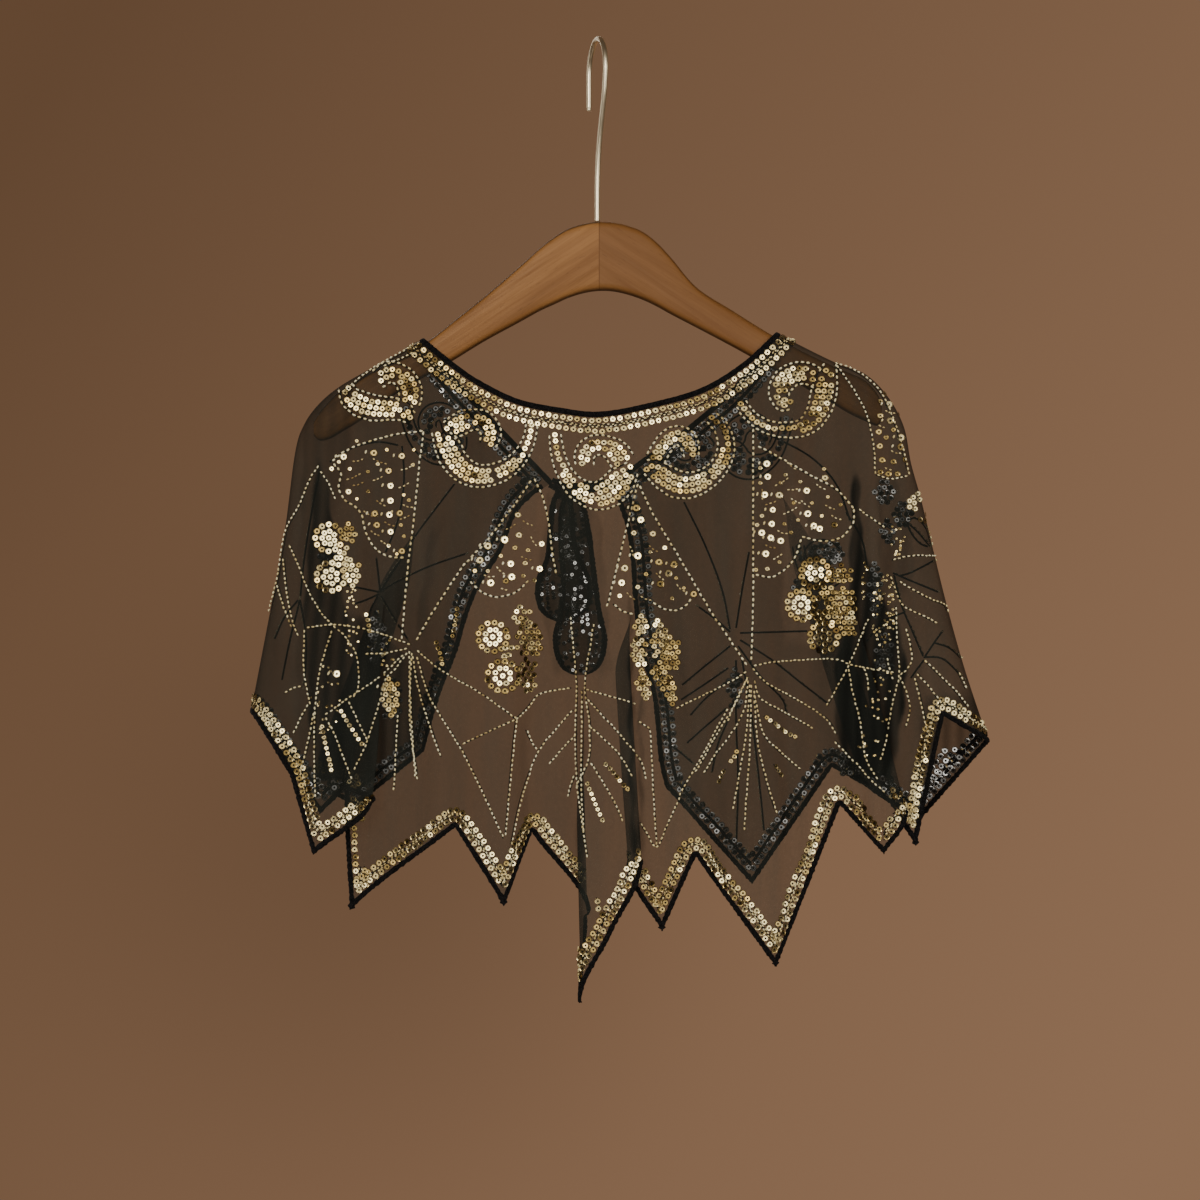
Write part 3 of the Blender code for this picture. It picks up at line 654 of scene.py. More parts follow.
def mapped(nodes, links, scale, turn=(0, 0, 0)):
    place = nodes.new("ShaderNodeTexCoord")
    mapping = nodes.new("ShaderNodeMapping")
    links.new(place.outputs["Object"], mapping.inputs["Vector"])
    mapping.inputs["Scale"].default_value = scale
    mapping.inputs["Rotation"].default_value = turn
    return mapping.outputs["Vector"]


def ranged(nodes, links, value, low, high, start=0.0, end=1.0):
    node = nodes.new("ShaderNodeMapRange")
    links.new(value, node.inputs["Value"])
    node.inputs["From Min"].default_value = low
    node.inputs["From Max"].default_value = high
    node.inputs["To Min"].default_value = start
    node.inputs["To Max"].default_value = end
    return node.outputs["Result"]


def noised(nodes, links, vector, scale, detail=3.0, rough=0.55):
    noise = nodes.new("ShaderNodeTexNoise")
    noise.inputs["Scale"].default_value = scale
    noise.inputs["Detail"].default_value = detail
    noise.inputs["Roughness"].default_value = rough
    links.new(vector, noise.inputs["Vector"])
    return noise.outputs["Fac"]


def blended(nodes, links, factor, one, other):
    mix = nodes.new("ShaderNodeMix")
    mix.data_type = "RGBA"
    links.new(factor, mix.inputs["Factor"])
    for socket, value in ((mix.inputs[6], one), (mix.inputs[7], other)):
        if isinstance(value, tuple):
            socket.default_value = (*value, 1)
        else:
            links.new(value, socket)
    return mix.outputs[2]


def bumped(nodes, links, shader, height, strength, distance):
    bump = nodes.new("ShaderNodeBump")
    bump.inputs["Strength"].default_value = strength
    bump.inputs["Distance"].default_value = distance
    links.new(height, bump.inputs["Height"])
    links.new(bump.outputs["Normal"], shader.inputs["Normal"])


def net_material(name="net", low=0.43, high=0.61, colour=(0.0238, 0.0256, 0.0204), gathers=True):
    """Black tulle: see-through between its threads, denser and painted darker where it is gathered or turns edge on
    (partly real density, partly painted shade), a little browner in streaks.
    """
    made, nodes, links, shader = shader_of(name)
    streaks = noised(nodes, links, mapped(nodes, links, (62, 62, 8), (0.0, 0.35, 0.0)), 1.0, 4.0)
    clouds = noised(nodes, links, mapped(nodes, links, (1, 1, 1)), 21.0, 3.0)
    fine = noised(nodes, links, mapped(nodes, links, (1, 1, 1)), 420.0, 2.0)
    both = nodes.new("ShaderNodeMath")
    both.operation = "ADD"
    links.new(ranged(nodes, links, streaks, 0.34, 0.68, 0.0, 0.65), both.inputs[0])
    links.new(ranged(nodes, links, fine, 0.3, 0.7, 0.0, 0.35), both.inputs[1])
    alpha = ranged(nodes, links, both.outputs[0], 0.0, 1.0, low, high)
    tint = blended(nodes, links, ranged(nodes, links, streaks, 0.35, 0.7), tuple(k * 0.70 for k in colour), tuple(k * 1.40 for k in colour))
    tint = blended(nodes, links, ranged(nodes, links, clouds, 0.42, 0.66, 0.0, 0.35), tint, tuple(k * 1.5 for k in colour))
    if gathers:
        gather_shade = nodes.new("ShaderNodeAttribute")
        gather_shade.attribute_name = "gather_shade"
        denser = nodes.new("ShaderNodeMix")
        denser.data_type = "FLOAT"
        denser.clamp_factor = False  # below nothing: a net thinner than usual
        links.new(gather_shade.outputs["Fac"], denser.inputs[0])
        links.new(alpha, denser.inputs[2])
        denser.inputs[3].default_value = 0.985
        alpha = denser.outputs[0]
        # Painted shade: the net's colour darkens towards a near black as its gather-and-shade value rises.
        tint = blended(nodes, links, gather_shade.outputs["Fac"], tint, tuple(k * 0.16 for k in colour))
    links.new(alpha, shader.inputs["Alpha"])
    links.new(tint, shader.inputs["Base Color"])
    shader.inputs["Roughness"].default_value = 0.9
    shader.inputs["Specular IOR Level"].default_value = 0.1
    bumped(nodes, links, shader, fine, 0.2, 0.0004)
    return made


def tape_material(name, colour=(0.0022, 0.0019, 0.0019), ribs=1500.0):
    """Black stitched edging: threads across it, uneven and a little fuzzy."""
    made, nodes, links, shader = shader_of(name)
    vector = mapped(nodes, links, (1, 1, 1))
    threads = nodes.new("ShaderNodeTexWave")
    threads.inputs["Scale"].default_value = ribs / 6.3
    threads.inputs["Distortion"].default_value = 6.0
    threads.inputs["Detail"].default_value = 3.0
    links.new(vector, threads.inputs["Vector"])
    fuzz = noised(nodes, links, vector, 700.0, 4.0)
    links.new(blended(nodes, links, ranged(nodes, links, fuzz, 0.4, 0.7), colour, tuple(k * 6.0 for k in colour)), shader.inputs["Base Color"])
    shader.inputs["Roughness"].default_value = 0.85
    shader.inputs["Specular IOR Level"].default_value = 0.12
    shader.inputs["Sheen Weight"].default_value = 0.03
    bumped(nodes, links, shader, threads.outputs["Fac"], 0.6, 0.0006)
    return made


def gilt_material(name, dark, middle, bright, rough=(0.16, 0.34), metal=1.0):
    """Metal film or glass: each piece has its own tone and its own polish."""
    made, nodes, links, shader = shader_of(name)
    tone = nodes.new("ShaderNodeAttribute")
    tone.attribute_name = "tone"
    scratch = noised(nodes, links, mapped(nodes, links, (1, 1, 1)), 900.0, 3.0)
    lower = blended(nodes, links, ranged(nodes, links, tone.outputs["Fac"], 0.0, 0.5), dark, middle)
    links.new(blended(nodes, links, ranged(nodes, links, tone.outputs["Fac"], 0.5, 1.0), lower, bright), shader.inputs["Base Color"])
    shader.inputs["Metallic"].default_value = metal
    links.new(ranged(nodes, links, scratch, 0.3, 0.7, *rough), shader.inputs["Roughness"])
    return made


def wood_material():
    """Red-brown beech with its grain along each arm and a butt joint in the middle, with painted shade along the top
    and lower edges of the arms.
    """
    made, nodes, links, shader = shader_of("beech")
    place = nodes.new("ShaderNodeTexCoord")
    split = nodes.new("ShaderNodeSeparateXYZ")
    links.new(place.outputs["Object"], split.inputs[0])
    away = nodes.new("ShaderNodeMath")
    away.operation = "ABSOLUTE"
    links.new(split.outputs["X"], away.inputs[0])
    join = nodes.new("ShaderNodeCombineXYZ")
    links.new(away.outputs[0], join.inputs["X"])
    links.new(split.outputs["Y"], join.inputs["Y"])
    links.new(split.outputs["Z"], join.inputs["Z"])
    turn = nodes.new("ShaderNodeMapping")
    turn.inputs["Rotation"].default_value = (0, math.radians(-33), 0)
    links.new(join.outputs[0], turn.inputs["Vector"])
    side = nodes.new("ShaderNodeMath")
    side.operation = "GREATER_THAN"
    side.inputs[1].default_value = 0.0009
    links.new(split.outputs["X"], side.inputs[0])
    shift = nodes.new("ShaderNodeVectorMath")
    shift.operation = "ADD"
    spread = nodes.new("ShaderNodeCombineXYZ")
    for k in "XYZ":
        links.new(side.outputs[0], spread.inputs[k])
    links.new(turn.outputs["Vector"], shift.inputs[0])
    links.new(spread.outputs[0], shift.inputs[1])

    def stretched(scale):
        node = nodes.new("ShaderNodeMapping")
        node.inputs["Scale"].default_value = scale
        links.new(shift.outputs[0], node.inputs["Vector"])
        return node.outputs["Vector"]

    broad = noised(nodes, links, stretched((5, 60, 60)), 1.0, 3.0)
    grain = noised(nodes, links, stretched((14, 420, 420)), 1.0, 5.0, 0.65)
    flecks = noised(nodes, links, stretched((130, 900, 900)), 1.0, 2.0)
    body = blended(nodes, links, ranged(nodes, links, broad, 0.3, 0.7), (0.255, 0.110, 0.030), (0.395, 0.186, 0.058))
    lined = blended(nodes, links, ranged(nodes, links, grain, 0.42, 0.72, 0.0, 0.55), body, (0.175, 0.068, 0.016))
    flecked = blended(nodes, links, ranged(nodes, links, flecks, 0.62, 0.80, 0.0, 0.5), lined, (0.085, 0.030, 0.006))
    near = nodes.new("ShaderNodeMath")
    near.operation = "COMPARE"
    near.inputs[1].default_value = 0.0009
    near.inputs[2].default_value = 0.00035
    links.new(split.outputs["X"], near.inputs[0])
    redder = blended(nodes, links, side.outputs[0], flecked, (0.160, 0.064, 0.016))
    part_way = nodes.new("ShaderNodeMix")
    part_way.data_type = "RGBA"
    part_way.inputs["Factor"].default_value = 0.45
    links.new(flecked, part_way.inputs[6])
    links.new(redder, part_way.inputs[7])
    # Painted shade: the tone attribute darkens the arms' edges, the undersides and the left arm's top strongly, the
    # right arm's lit top only a little.
    rim = nodes.new("ShaderNodeAttribute")
    rim.attribute_name = "tone"
    painted_edge_shade = nodes.new("ShaderNodeMix")
    painted_edge_shade.data_type = "RGBA"
    links.new(rim.outputs["Fac"], painted_edge_shade.inputs["Factor"])
    painted_edge_shade.inputs[7].default_value = (0.030, 0.011, 0.003, 1)
    links.new(painted_edge_shade.outputs[2], shader.inputs["Base Color"])
    links.new(blended(nodes, links, near.outputs[0], part_way.outputs[2], (0.17, 0.066, 0.012)), painted_edge_shade.inputs[6])
    links.new(ranged(nodes, links, grain, 0.3, 0.7, 0.46, 0.60), shader.inputs["Roughness"])
    shader.inputs["Specular IOR Level"].default_value = 0.22
    bumped(nodes, links, shader, grain, 0.12, 0.0004)
    return made


def steel_material():
    made, nodes, links, shader = shader_of("steel")
    drawn = noised(nodes, links, mapped(nodes, links, (300, 300, 12)), 1.0, 2.0)
    links.new(blended(nodes, links, drawn, (0.84, 0.72, 0.49), (0.92, 0.80, 0.57)), shader.inputs["Base Color"])
    shader.inputs["Metallic"].default_value = 1.0
    links.new(ranged(nodes, links, drawn, 0.3, 0.7, 0.34, 0.40), shader.inputs["Roughness"])
    return made


# ---------------------------------------------------------------- meshes
def add(name, points, faces, made_of, smooth=True, tones=None, kinds=None, gather_shade=None):
    """A named object from points in mm and an array of faces that all have as many corners."""
    mesh = bpy.data.meshes.new(name)
    corners = faces.shape[1]
    mesh.vertices.add(len(points))
    mesh.vertices.foreach_set("co", (np.asarray(points) * MM).astype(np.float32).ravel())
    mesh.loops.add(faces.size)
    mesh.loops.foreach_set("vertex_index", faces.astype(np.int32).ravel())
    mesh.polygons.add(len(faces))
    mesh.polygons.foreach_set("loop_start", np.arange(0, faces.size, corners, dtype=np.int32))
    mesh.update(calc_edges=True)
    for kind in made_of if isinstance(made_of, (list, tuple)) else [made_of]:
        mesh.materials.append(kind)
    if kinds is not None:
        mesh.polygons.foreach_set("material_index", kinds.astype(np.int32))
    if tones is not None:
        tone = mesh.attributes.new("tone", "FLOAT", "POINT")
        tone.data.foreach_set("value", tones.astype(np.float32))
    # the net's gathered density and painted fold shade, per point
    if gather_shade is not None:
        gathered = mesh.attributes.new("gather_shade", "FLOAT", "POINT")
        gathered.data.foreach_set("value", gather_shade.astype(np.float32))
    if smooth:
        mesh.shade_smooth()
    else:
        mesh.shade_flat()
    piece = bpy.data.objects.new(name, mesh)
    bpy.context.scene.collection.objects.link(piece)
    return piece


def grid_faces(n, m):
    i, j = np.meshgrid(np.arange(n - 1), np.arange(m - 1), indexing="ij")
    a = (i * m + j).ravel()
    return np.stack([a, a + m, a + m + 1, a + 1], -1)


def swept(path, sections, closed_ends=True):
    """Faces of a tube whose sections, each with the same number of points, follow one another."""
    n, k = sections.shape[:2]
    points = sections.reshape(-1, 3)
    i, j = np.meshgrid(np.arange(n - 1), np.arange(k), indexing="ij")
    a, b = (i * k + j).ravel(), (i * k + (j + 1) % k).ravel()
    faces = np.stack([a, a + k, b + k, b], -1)
    if closed_ends:
        points = np.concatenate([points, path[:1], path[-1:]])
        j = np.arange(k)
        first, last = len(points) - 2, len(points) - 1
        caps = [
            np.stack([np.full(k, first), j, (j + 1) % k, (j + 1) % k], -1),
            np.stack([np.full(k, last), (n - 1) * k + (j + 1) % k, (n - 1) * k + j, (n - 1) * k + j], -1),
        ]
        faces = np.concatenate([faces, *caps])
    split = np.concatenate([faces[:, [0, 1, 2]], faces[:, [0, 2, 3]]])
    keep = (split[:, 0] != split[:, 1]) & (split[:, 1] != split[:, 2]) & (split[:, 0] != split[:, 2])
    return points, split[keep]


# ---------------------------------------------------------------- the cloth as thin shells
AT_THE_FOLD = np.array([0.0008, 0.002, 0.0035, 0.006, 0.011, 0.016, 0.022, 0.031, 0.042, 0.055, 0.07, 0.085])


class Cloth:
    """One panel as a fine grid, with what rays and needlework need of it."""

    def __init__(self, name, columns, rows):
        self.panel = CAPE[name]
        wanted = np.unique(
            np.concatenate([np.linspace(0, 1, columns), self.panel.at, AT_THE_FOLD, 1 - AT_THE_FOLD])
        )
        s = [0.0]
        for value in wanted:
            if value - s[-1] > 0.0007:
                s.append(value)
        s[-1] = 1.0
        self.s, self.t = np.array(s), np.linspace(0, 1, rows) ** 1.05
        self.grid = self.panel.place(self.s[:, None], self.t[None, :])
        self.turn = 1.0 if name == "cape_front_left" else -1.0
        self.points = self.grid.reshape(-1, 3)
        self.quads = grid_faces(*self.grid.shape[:2])
        if self.turn < 0:
            self.quads = self.quads[:, ::-1]
        self.halves = np.concatenate([self.quads[:, [0, 1, 2]], self.quads[:, [0, 2, 3]]])
        corner = self.points[self.halves]
        self.facing = unit(np.cross(corner[:, 1] - corner[:, 0], corner[:, 2] - corner[:, 0]))

    def normal(self, s, t):
        """The outward normal at shares s and t."""
        step = 0.002
        one = self.panel.place(np.clip(s + step, 0, 1), t) - self.panel.place(np.clip(s - step, 0, 1), t)
        other = self.panel.place(s, np.clip(t + step, 0, 1)) - self.panel.place(s, np.clip(t - step, 0, 1))
        return self.turn * unit(np.cross(one, other))


class Layer:
    """The cloths that one layer shows to the eye."""

    def __init__(self, *cloths):
        shift, points, halves = 0, [], []
        for cloth in cloths:
            points.append(cloth.points)
            halves.append(cloth.halves + shift)
            shift += len(cloth.points)
        self.cloths = cloths
        self.facing = np.concatenate([c.facing for c in cloths])
        self.tree = BVHTree.FromPolygons(
            np.concatenate(points).tolist(), np.concatenate(halves).tolist()
        )

    def meet(self, uv):
        """Where the eye's rays through steps meet this layer: points, outward normals, and which do."""
        ways = unit(seen(uv) - EYE)
        points, normals = np.zeros((len(ways), 3)), np.zeros((len(ways), 3))
        met = np.zeros(len(ways), bool)
        eye = Vector(EYE)
        for k, way in enumerate(ways):
            hit, _, index, _ = self.tree.ray_cast(eye, Vector(way))
            if hit is not None:
                points[k], normals[k], met[k] = hit, self.facing[index], True
        return points, normals, met

    def settle(self, spots):
        """The nearest points of this layer to points in mm, with outward normals."""
        points, normals = np.array(spots), np.zeros_like(spots)
        for k, spot in enumerate(spots):
            hit, _, index, _ = self.tree.find_nearest(Vector(spot))
            points[k], normals[k] = hit, self.facing[index]
        return points, normals

    def runs(self, uv):
        """A line of steps as unbroken runs on this layer."""
        points, normals, met = self.meet(uv)
        gap = np.linalg.norm(np.diff(points, axis=0), axis=1)
        usual = np.linalg.norm(np.diff(uv, axis=0), axis=1) * STEP
        run = []
        for k in range(len(points)):
            if run and (not met[k] or gap[k - 1] > 5 * usual[k - 1] + 2.0):
                if len(run) > 2:
                    yield points[run], normals[run]
                run = []
            if met[k]:
                run.append(k)
        if len(run) > 2:
            yield points[run], normals[run]


def flowing(rows, step=2.0):
    """A smooth line through rows, at about this many steps from point to point."""
    curve = Curve(rows)
    return curve(np.linspace(0, 1, max(3, int(curve.length / step) + 1)))


def spread(points, pitch, start=0.5):
    """Places along a run at an even pitch in mm: their positions as fractions of point numbers."""
    at = np.concatenate([[0], np.cumsum(np.linalg.norm(np.diff(points, axis=0), axis=1))])
    where = np.arange(start * pitch, at[-1] + 0.01, pitch)
    return np.interp(where, at, np.arange(len(points)))


def read(values, where):
    low = np.clip(where.astype(int), 0, len(values) - 2)
    share = (where - low)[:, None]
    return values[low] * (1 - share) + values[low + 1] * share


# ---------------------------------------------------------------- needlework
class Work:
    """Everything sewn on one part of the garment: sequins, beads and the thread that couches them."""

    def __init__(self):
        self.rows = {"sequin": [], "bead": []}
        self.thread = []

    def put(self, kind, points, normals, along, size, tone):
        n = len(points)
        if n:
            self.rows[kind].append(
                np.column_stack([points, normals, along, np.broadcast_to(size, n), np.broadcast_to(tone, n)])
            )


def wave(points, size, seed):
    """A smooth field between -1 and 1 over points in mm."""
    dice = np.random.default_rng(seed)
    total = np.zeros(len(points))
    for _ in range(5):
        way = dice.normal(size=3) / size
        total += np.sin(points @ way * 2.2 + dice.uniform(0, 6.28))
    return total / 3.2


# Painted highlights, where the worked side catches the light: steps across and down, reach, and how much more.
LIT = (
    (350, 394, 13, 0.22), (628, 421, 17, 0.25), (520, 446, 15, 0.22), (617, 472, 15, 0.32), (790, 379, 15, 0.26),
    (822, 406, 12, 0.14), (738, 364, 16, 0.16), (700, 388, 18, 0.12), (913, 500, 13, 0.35), (345, 804, 12, 0.20),
    (470, 812, 12, 0.18), (491, 860, 13, 0.20), (518, 834, 11, 0.20), (615, 896, 14, 0.22), (753, 916, 15, 0.24),
    (957, 708, 20, 0.42), (895, 779, 12, 0.20), (330, 550, 12, 0.15), (500, 660, 12, 0.14), (832, 880, 12, 0.16),
)


def tone_and_highlight_at(points, bias=0.0, seed=5):
    spots = wave(points, 24.0, seed) * 0.30 + wave(points, 8.0, seed + 1) * 0.22
    steps = unseen(points)
    # painted highlight: near each lit spot on the near side the tone, and with it the colour, is raised
    for u, v, reach, more in LIT:
        spots = spots + more * np.exp(-((steps - (u, v)) ** 2).sum(-1) / reach ** 2) * (points[:, 1] < 8)
    return np.clip(0.60 + bias + spots + DICE.normal(0, 0.13, len(points)), 0.04, 0.96)


BEAD_PITCH, BEAD_LONG, BEAD_WIDE = 4.3, 2.55, 1.8
DISC_PITCH, DISC_WIDE = 5.3, 4.75


def row_of(work, runs, kind, avoid=None, size=1.0, bias=0.0, pitch=None, thread=True, start=0.5, shake=0.0):
    """Beads or sequins in a row along runs of points and normals, leaving out what is nearer than its limit to the steps in avoid."""
    for points, normals in runs:
        where = spread(points, pitch or (BEAD_PITCH if kind == "bead" else DISC_PITCH * size), start)
        if not len(where):
            continue
        spots, facing = read(points, where), unit(read(normals, where))
        way = read(np.gradient(points, axis=0), where)
        if shake:
            spots = spots + unit(np.cross(facing, way)) * DICE.normal(0, shake, (len(spots), 1)) + unit(way) * DICE.normal(0, shake, (len(spots), 1))
        if avoid is not None and len(avoid[0]):
            off = np.linalg.norm(unseen(spots)[:, None] - avoid[0][None], axis=-1).min(1)
            keep = off > avoid[1]
            spots, facing, way = spots[keep], facing[keep], way[keep]
        work.put(kind, spots, facing, unit(way), size, tone_and_highlight_at(spots, bias + (0.14 if kind == "bead" else 0.0)))
        if thread:
            ends = read(points, spread(points, 3.4, 0.0))
            sides = unit(read(normals, spread(points, 3.4, 0.0)))
            if len(ends) > 2:
                work.thread.append((ends, sides))


def on(layer, rows, step=2.0):
    return list(layer.runs(flowing(np.array(rows, float), step)[:, :2]))


def thinned(points, others, least):
    kept = list(others)
    fresh = []
    for p in points:
        if not kept or np.linalg.norm(np.array(kept) - p, axis=1).min() > least:
            kept.append(p)
            fresh.append(p)
    return np.array(fresh).reshape(-1, 2), kept


def dotted(work, layer, uv, size=1.0, bias=0.0, tone=None):
    """Single sequins at steps."""
    uv = np.asarray(uv, float).reshape(-1, 2)
    if not len(uv):
        return
    points, normals, met = layer.meet(uv)
    points, normals = points[met], normals[met]
    size = np.broadcast_to(size, len(uv))[met]
    shade = tone_and_highlight_at(points, bias) if tone is None else np.clip(np.broadcast_to(tone, len(uv))[met] + DICE.normal(0, 0.07, len(points)), 0, 1)
    work.put("sequin", points, normals, np.tile([1.0, 0, 0], (len(points), 1)), size, shade)


def band(work, layer, strokes, bias=0.0, outline=True):
    """Strokes of sequins, each as (u, v, how many rows wide), inside two rows of beads."""
    taken, edges = [], []
    for rows in strokes:
        path = flowing(np.array(rows, float), 1.5)
        middle, wide = path[:, :2], path[:, 2]
        way = unit(np.gradient(middle, axis=0))
        side = np.stack([-way[:, 1], way[:, 0]], -1)
        local = np.maximum(1, np.round(wide)).astype(int)
        for lanes in range(local.max(), 0, -1):
            with_lanes = np.flatnonzero(local == lanes)
            if not len(with_lanes):
                continue
            for piece in np.split(with_lanes, np.flatnonzero(np.diff(with_lanes) > 1) + 1):
                for k in range(lanes):
                    share = 0.0 if lanes == 1 else 2 * k / (lanes - 1) - 1
                    lane = middle[piece] + side[piece] * (share * np.minimum(np.maximum(wide[piece] - 1, 0) * 3.1, (lanes - 1) * 3.0))[:, None]
                    at = np.concatenate([[0], np.cumsum(np.linalg.norm(np.diff(lane, axis=0), axis=1))])
                    where = np.arange(1.0 + 3.1 * (k % 2), at[-1] + 3.0, 6.2)
                    spots = np.stack([np.interp(where, at, lane[:, i]) for i in (0, 1)], -1)
                    fresh, taken = thinned(spots, taken, 5.1)
        for sign in (-1, 1):
            edges.append(middle + side * sign * (np.maximum(wide, 1) * 3.2 + 2.5)[:, None])
    spots = np.array(taken)
    dotted(work, layer, spots, 1.0, bias)
    if outline:
        for edge in edges:
            row_of(work, list(layer.runs(edge)), "bead", avoid=(spots, 4.6), bias=bias - 0.05)


VOLUTE = (
    ((-43, -28, 1.0), (-40, -8, 1.0), (-31, 14, 1.3), (-18, 27, 2.0), (0, 33, 3.2), (16, 28, 3.6), (26, 14, 3.4), (35, 3, 1.0)),
    ((29, 2, 2.0), (24, -3, 3.0), (18, -14, 2.6), (6, -23, 2.0), (-8, -20, 2.0), (-14, -8, 2.0), (-11, 4, 1.6)),
)


def rosette(work, layer, u, v, reach, petals, bias, middle_tone=0.95, phase=0.0):
    """A round flower: a bright pad of sequins inside a ring of them."""
    petals = round(2 * math.pi * reach / 7.0)
    turn = phase + np.arange(petals) / petals * 2 * math.pi
    ring = np.stack([u + reach * np.cos(turn), v + reach * np.sin(turn)], -1)
    dotted(work, layer, ring, 1.08, bias - 0.19)
    inner = max(3, round((reach - 6.8) * 2 * math.pi / 6.4))
    turn = phase + 0.4 + np.arange(inner) / inner * 2 * math.pi
    pad = np.stack([u + (reach - 7.0) * np.cos(turn), v + (reach - 7.0) * np.sin(turn)], -1)
    dotted(work, layer, pad, 1.0, tone=middle_tone)
    if reach > 12:
        dotted(work, layer, [(u, v)], 1.0, tone=middle_tone)


def cluster(work, layer, u, v, wide, tall, bias, turn=0.0, size=0.92):
    """A close lobe of smaller sequins."""
    spots = []
    pitch = 6.35 * size
    for j, dv in enumerate(np.arange(-tall, tall + 0.1, pitch * 0.88)):
        for du in np.arange(-wide + (j % 2) * pitch / 2, wide + 0.1, pitch):
            if (du / (wide + 1)) ** 2 + (dv / (tall + 1)) ** 2 <= 1:
                c, s = math.cos(turn), math.sin(turn)
                spots.append((u + c * du - s * dv, v + s * du + c * dv))
    spots = np.array(spots) + DICE.normal(0, 0.45, (len(spots), 2))
    dotted(work, layer, spots, size, bias + 0.08)


# Lines of beads on the near layer, as steps across and down.
PETAL_LINES = (
    ((424, 431), (400, 434), (375, 440), (350, 449), (331, 462)),
    ((333, 463), (341, 474), (339, 488), (345, 500), (356, 507), (362, 516), (366, 533), (376, 549), (391, 557), (407, 557)),
    ((424, 431), (419, 470), (414, 520), (409, 558), (405, 600), (402, 640)),
    ((753, 428), (753, 480), (753, 540), (753, 600), (751, 664)),
    ((757, 446), (780, 458), (806, 473), (835, 489), (853, 508)),
    ((853, 508), (852, 524), (840, 538), (822, 541), (803, 537)),
    ((801, 538), (797, 552), (788, 566), (772, 577), (757, 575)),
    ((532, 480), (510, 511), (487, 541), (463, 567), (437, 606), (416, 641)),
    ((534, 478), (543, 498), (549, 525), (553, 555), (556, 572)),
    ((470, 581), (482, 592), (497, 597), (514, 593), (528, 581)),
    ((638, 483), (631, 510), (625, 535), (617, 566), (607, 606)),
    ((639, 485), (655, 518), (676, 552), (697, 588), (716, 619), (746, 664)),
    ((613, 604), (622, 611), (632, 614)),
    ((652, 602), (664, 609), (676, 610), (687, 605), (692, 597)),
)
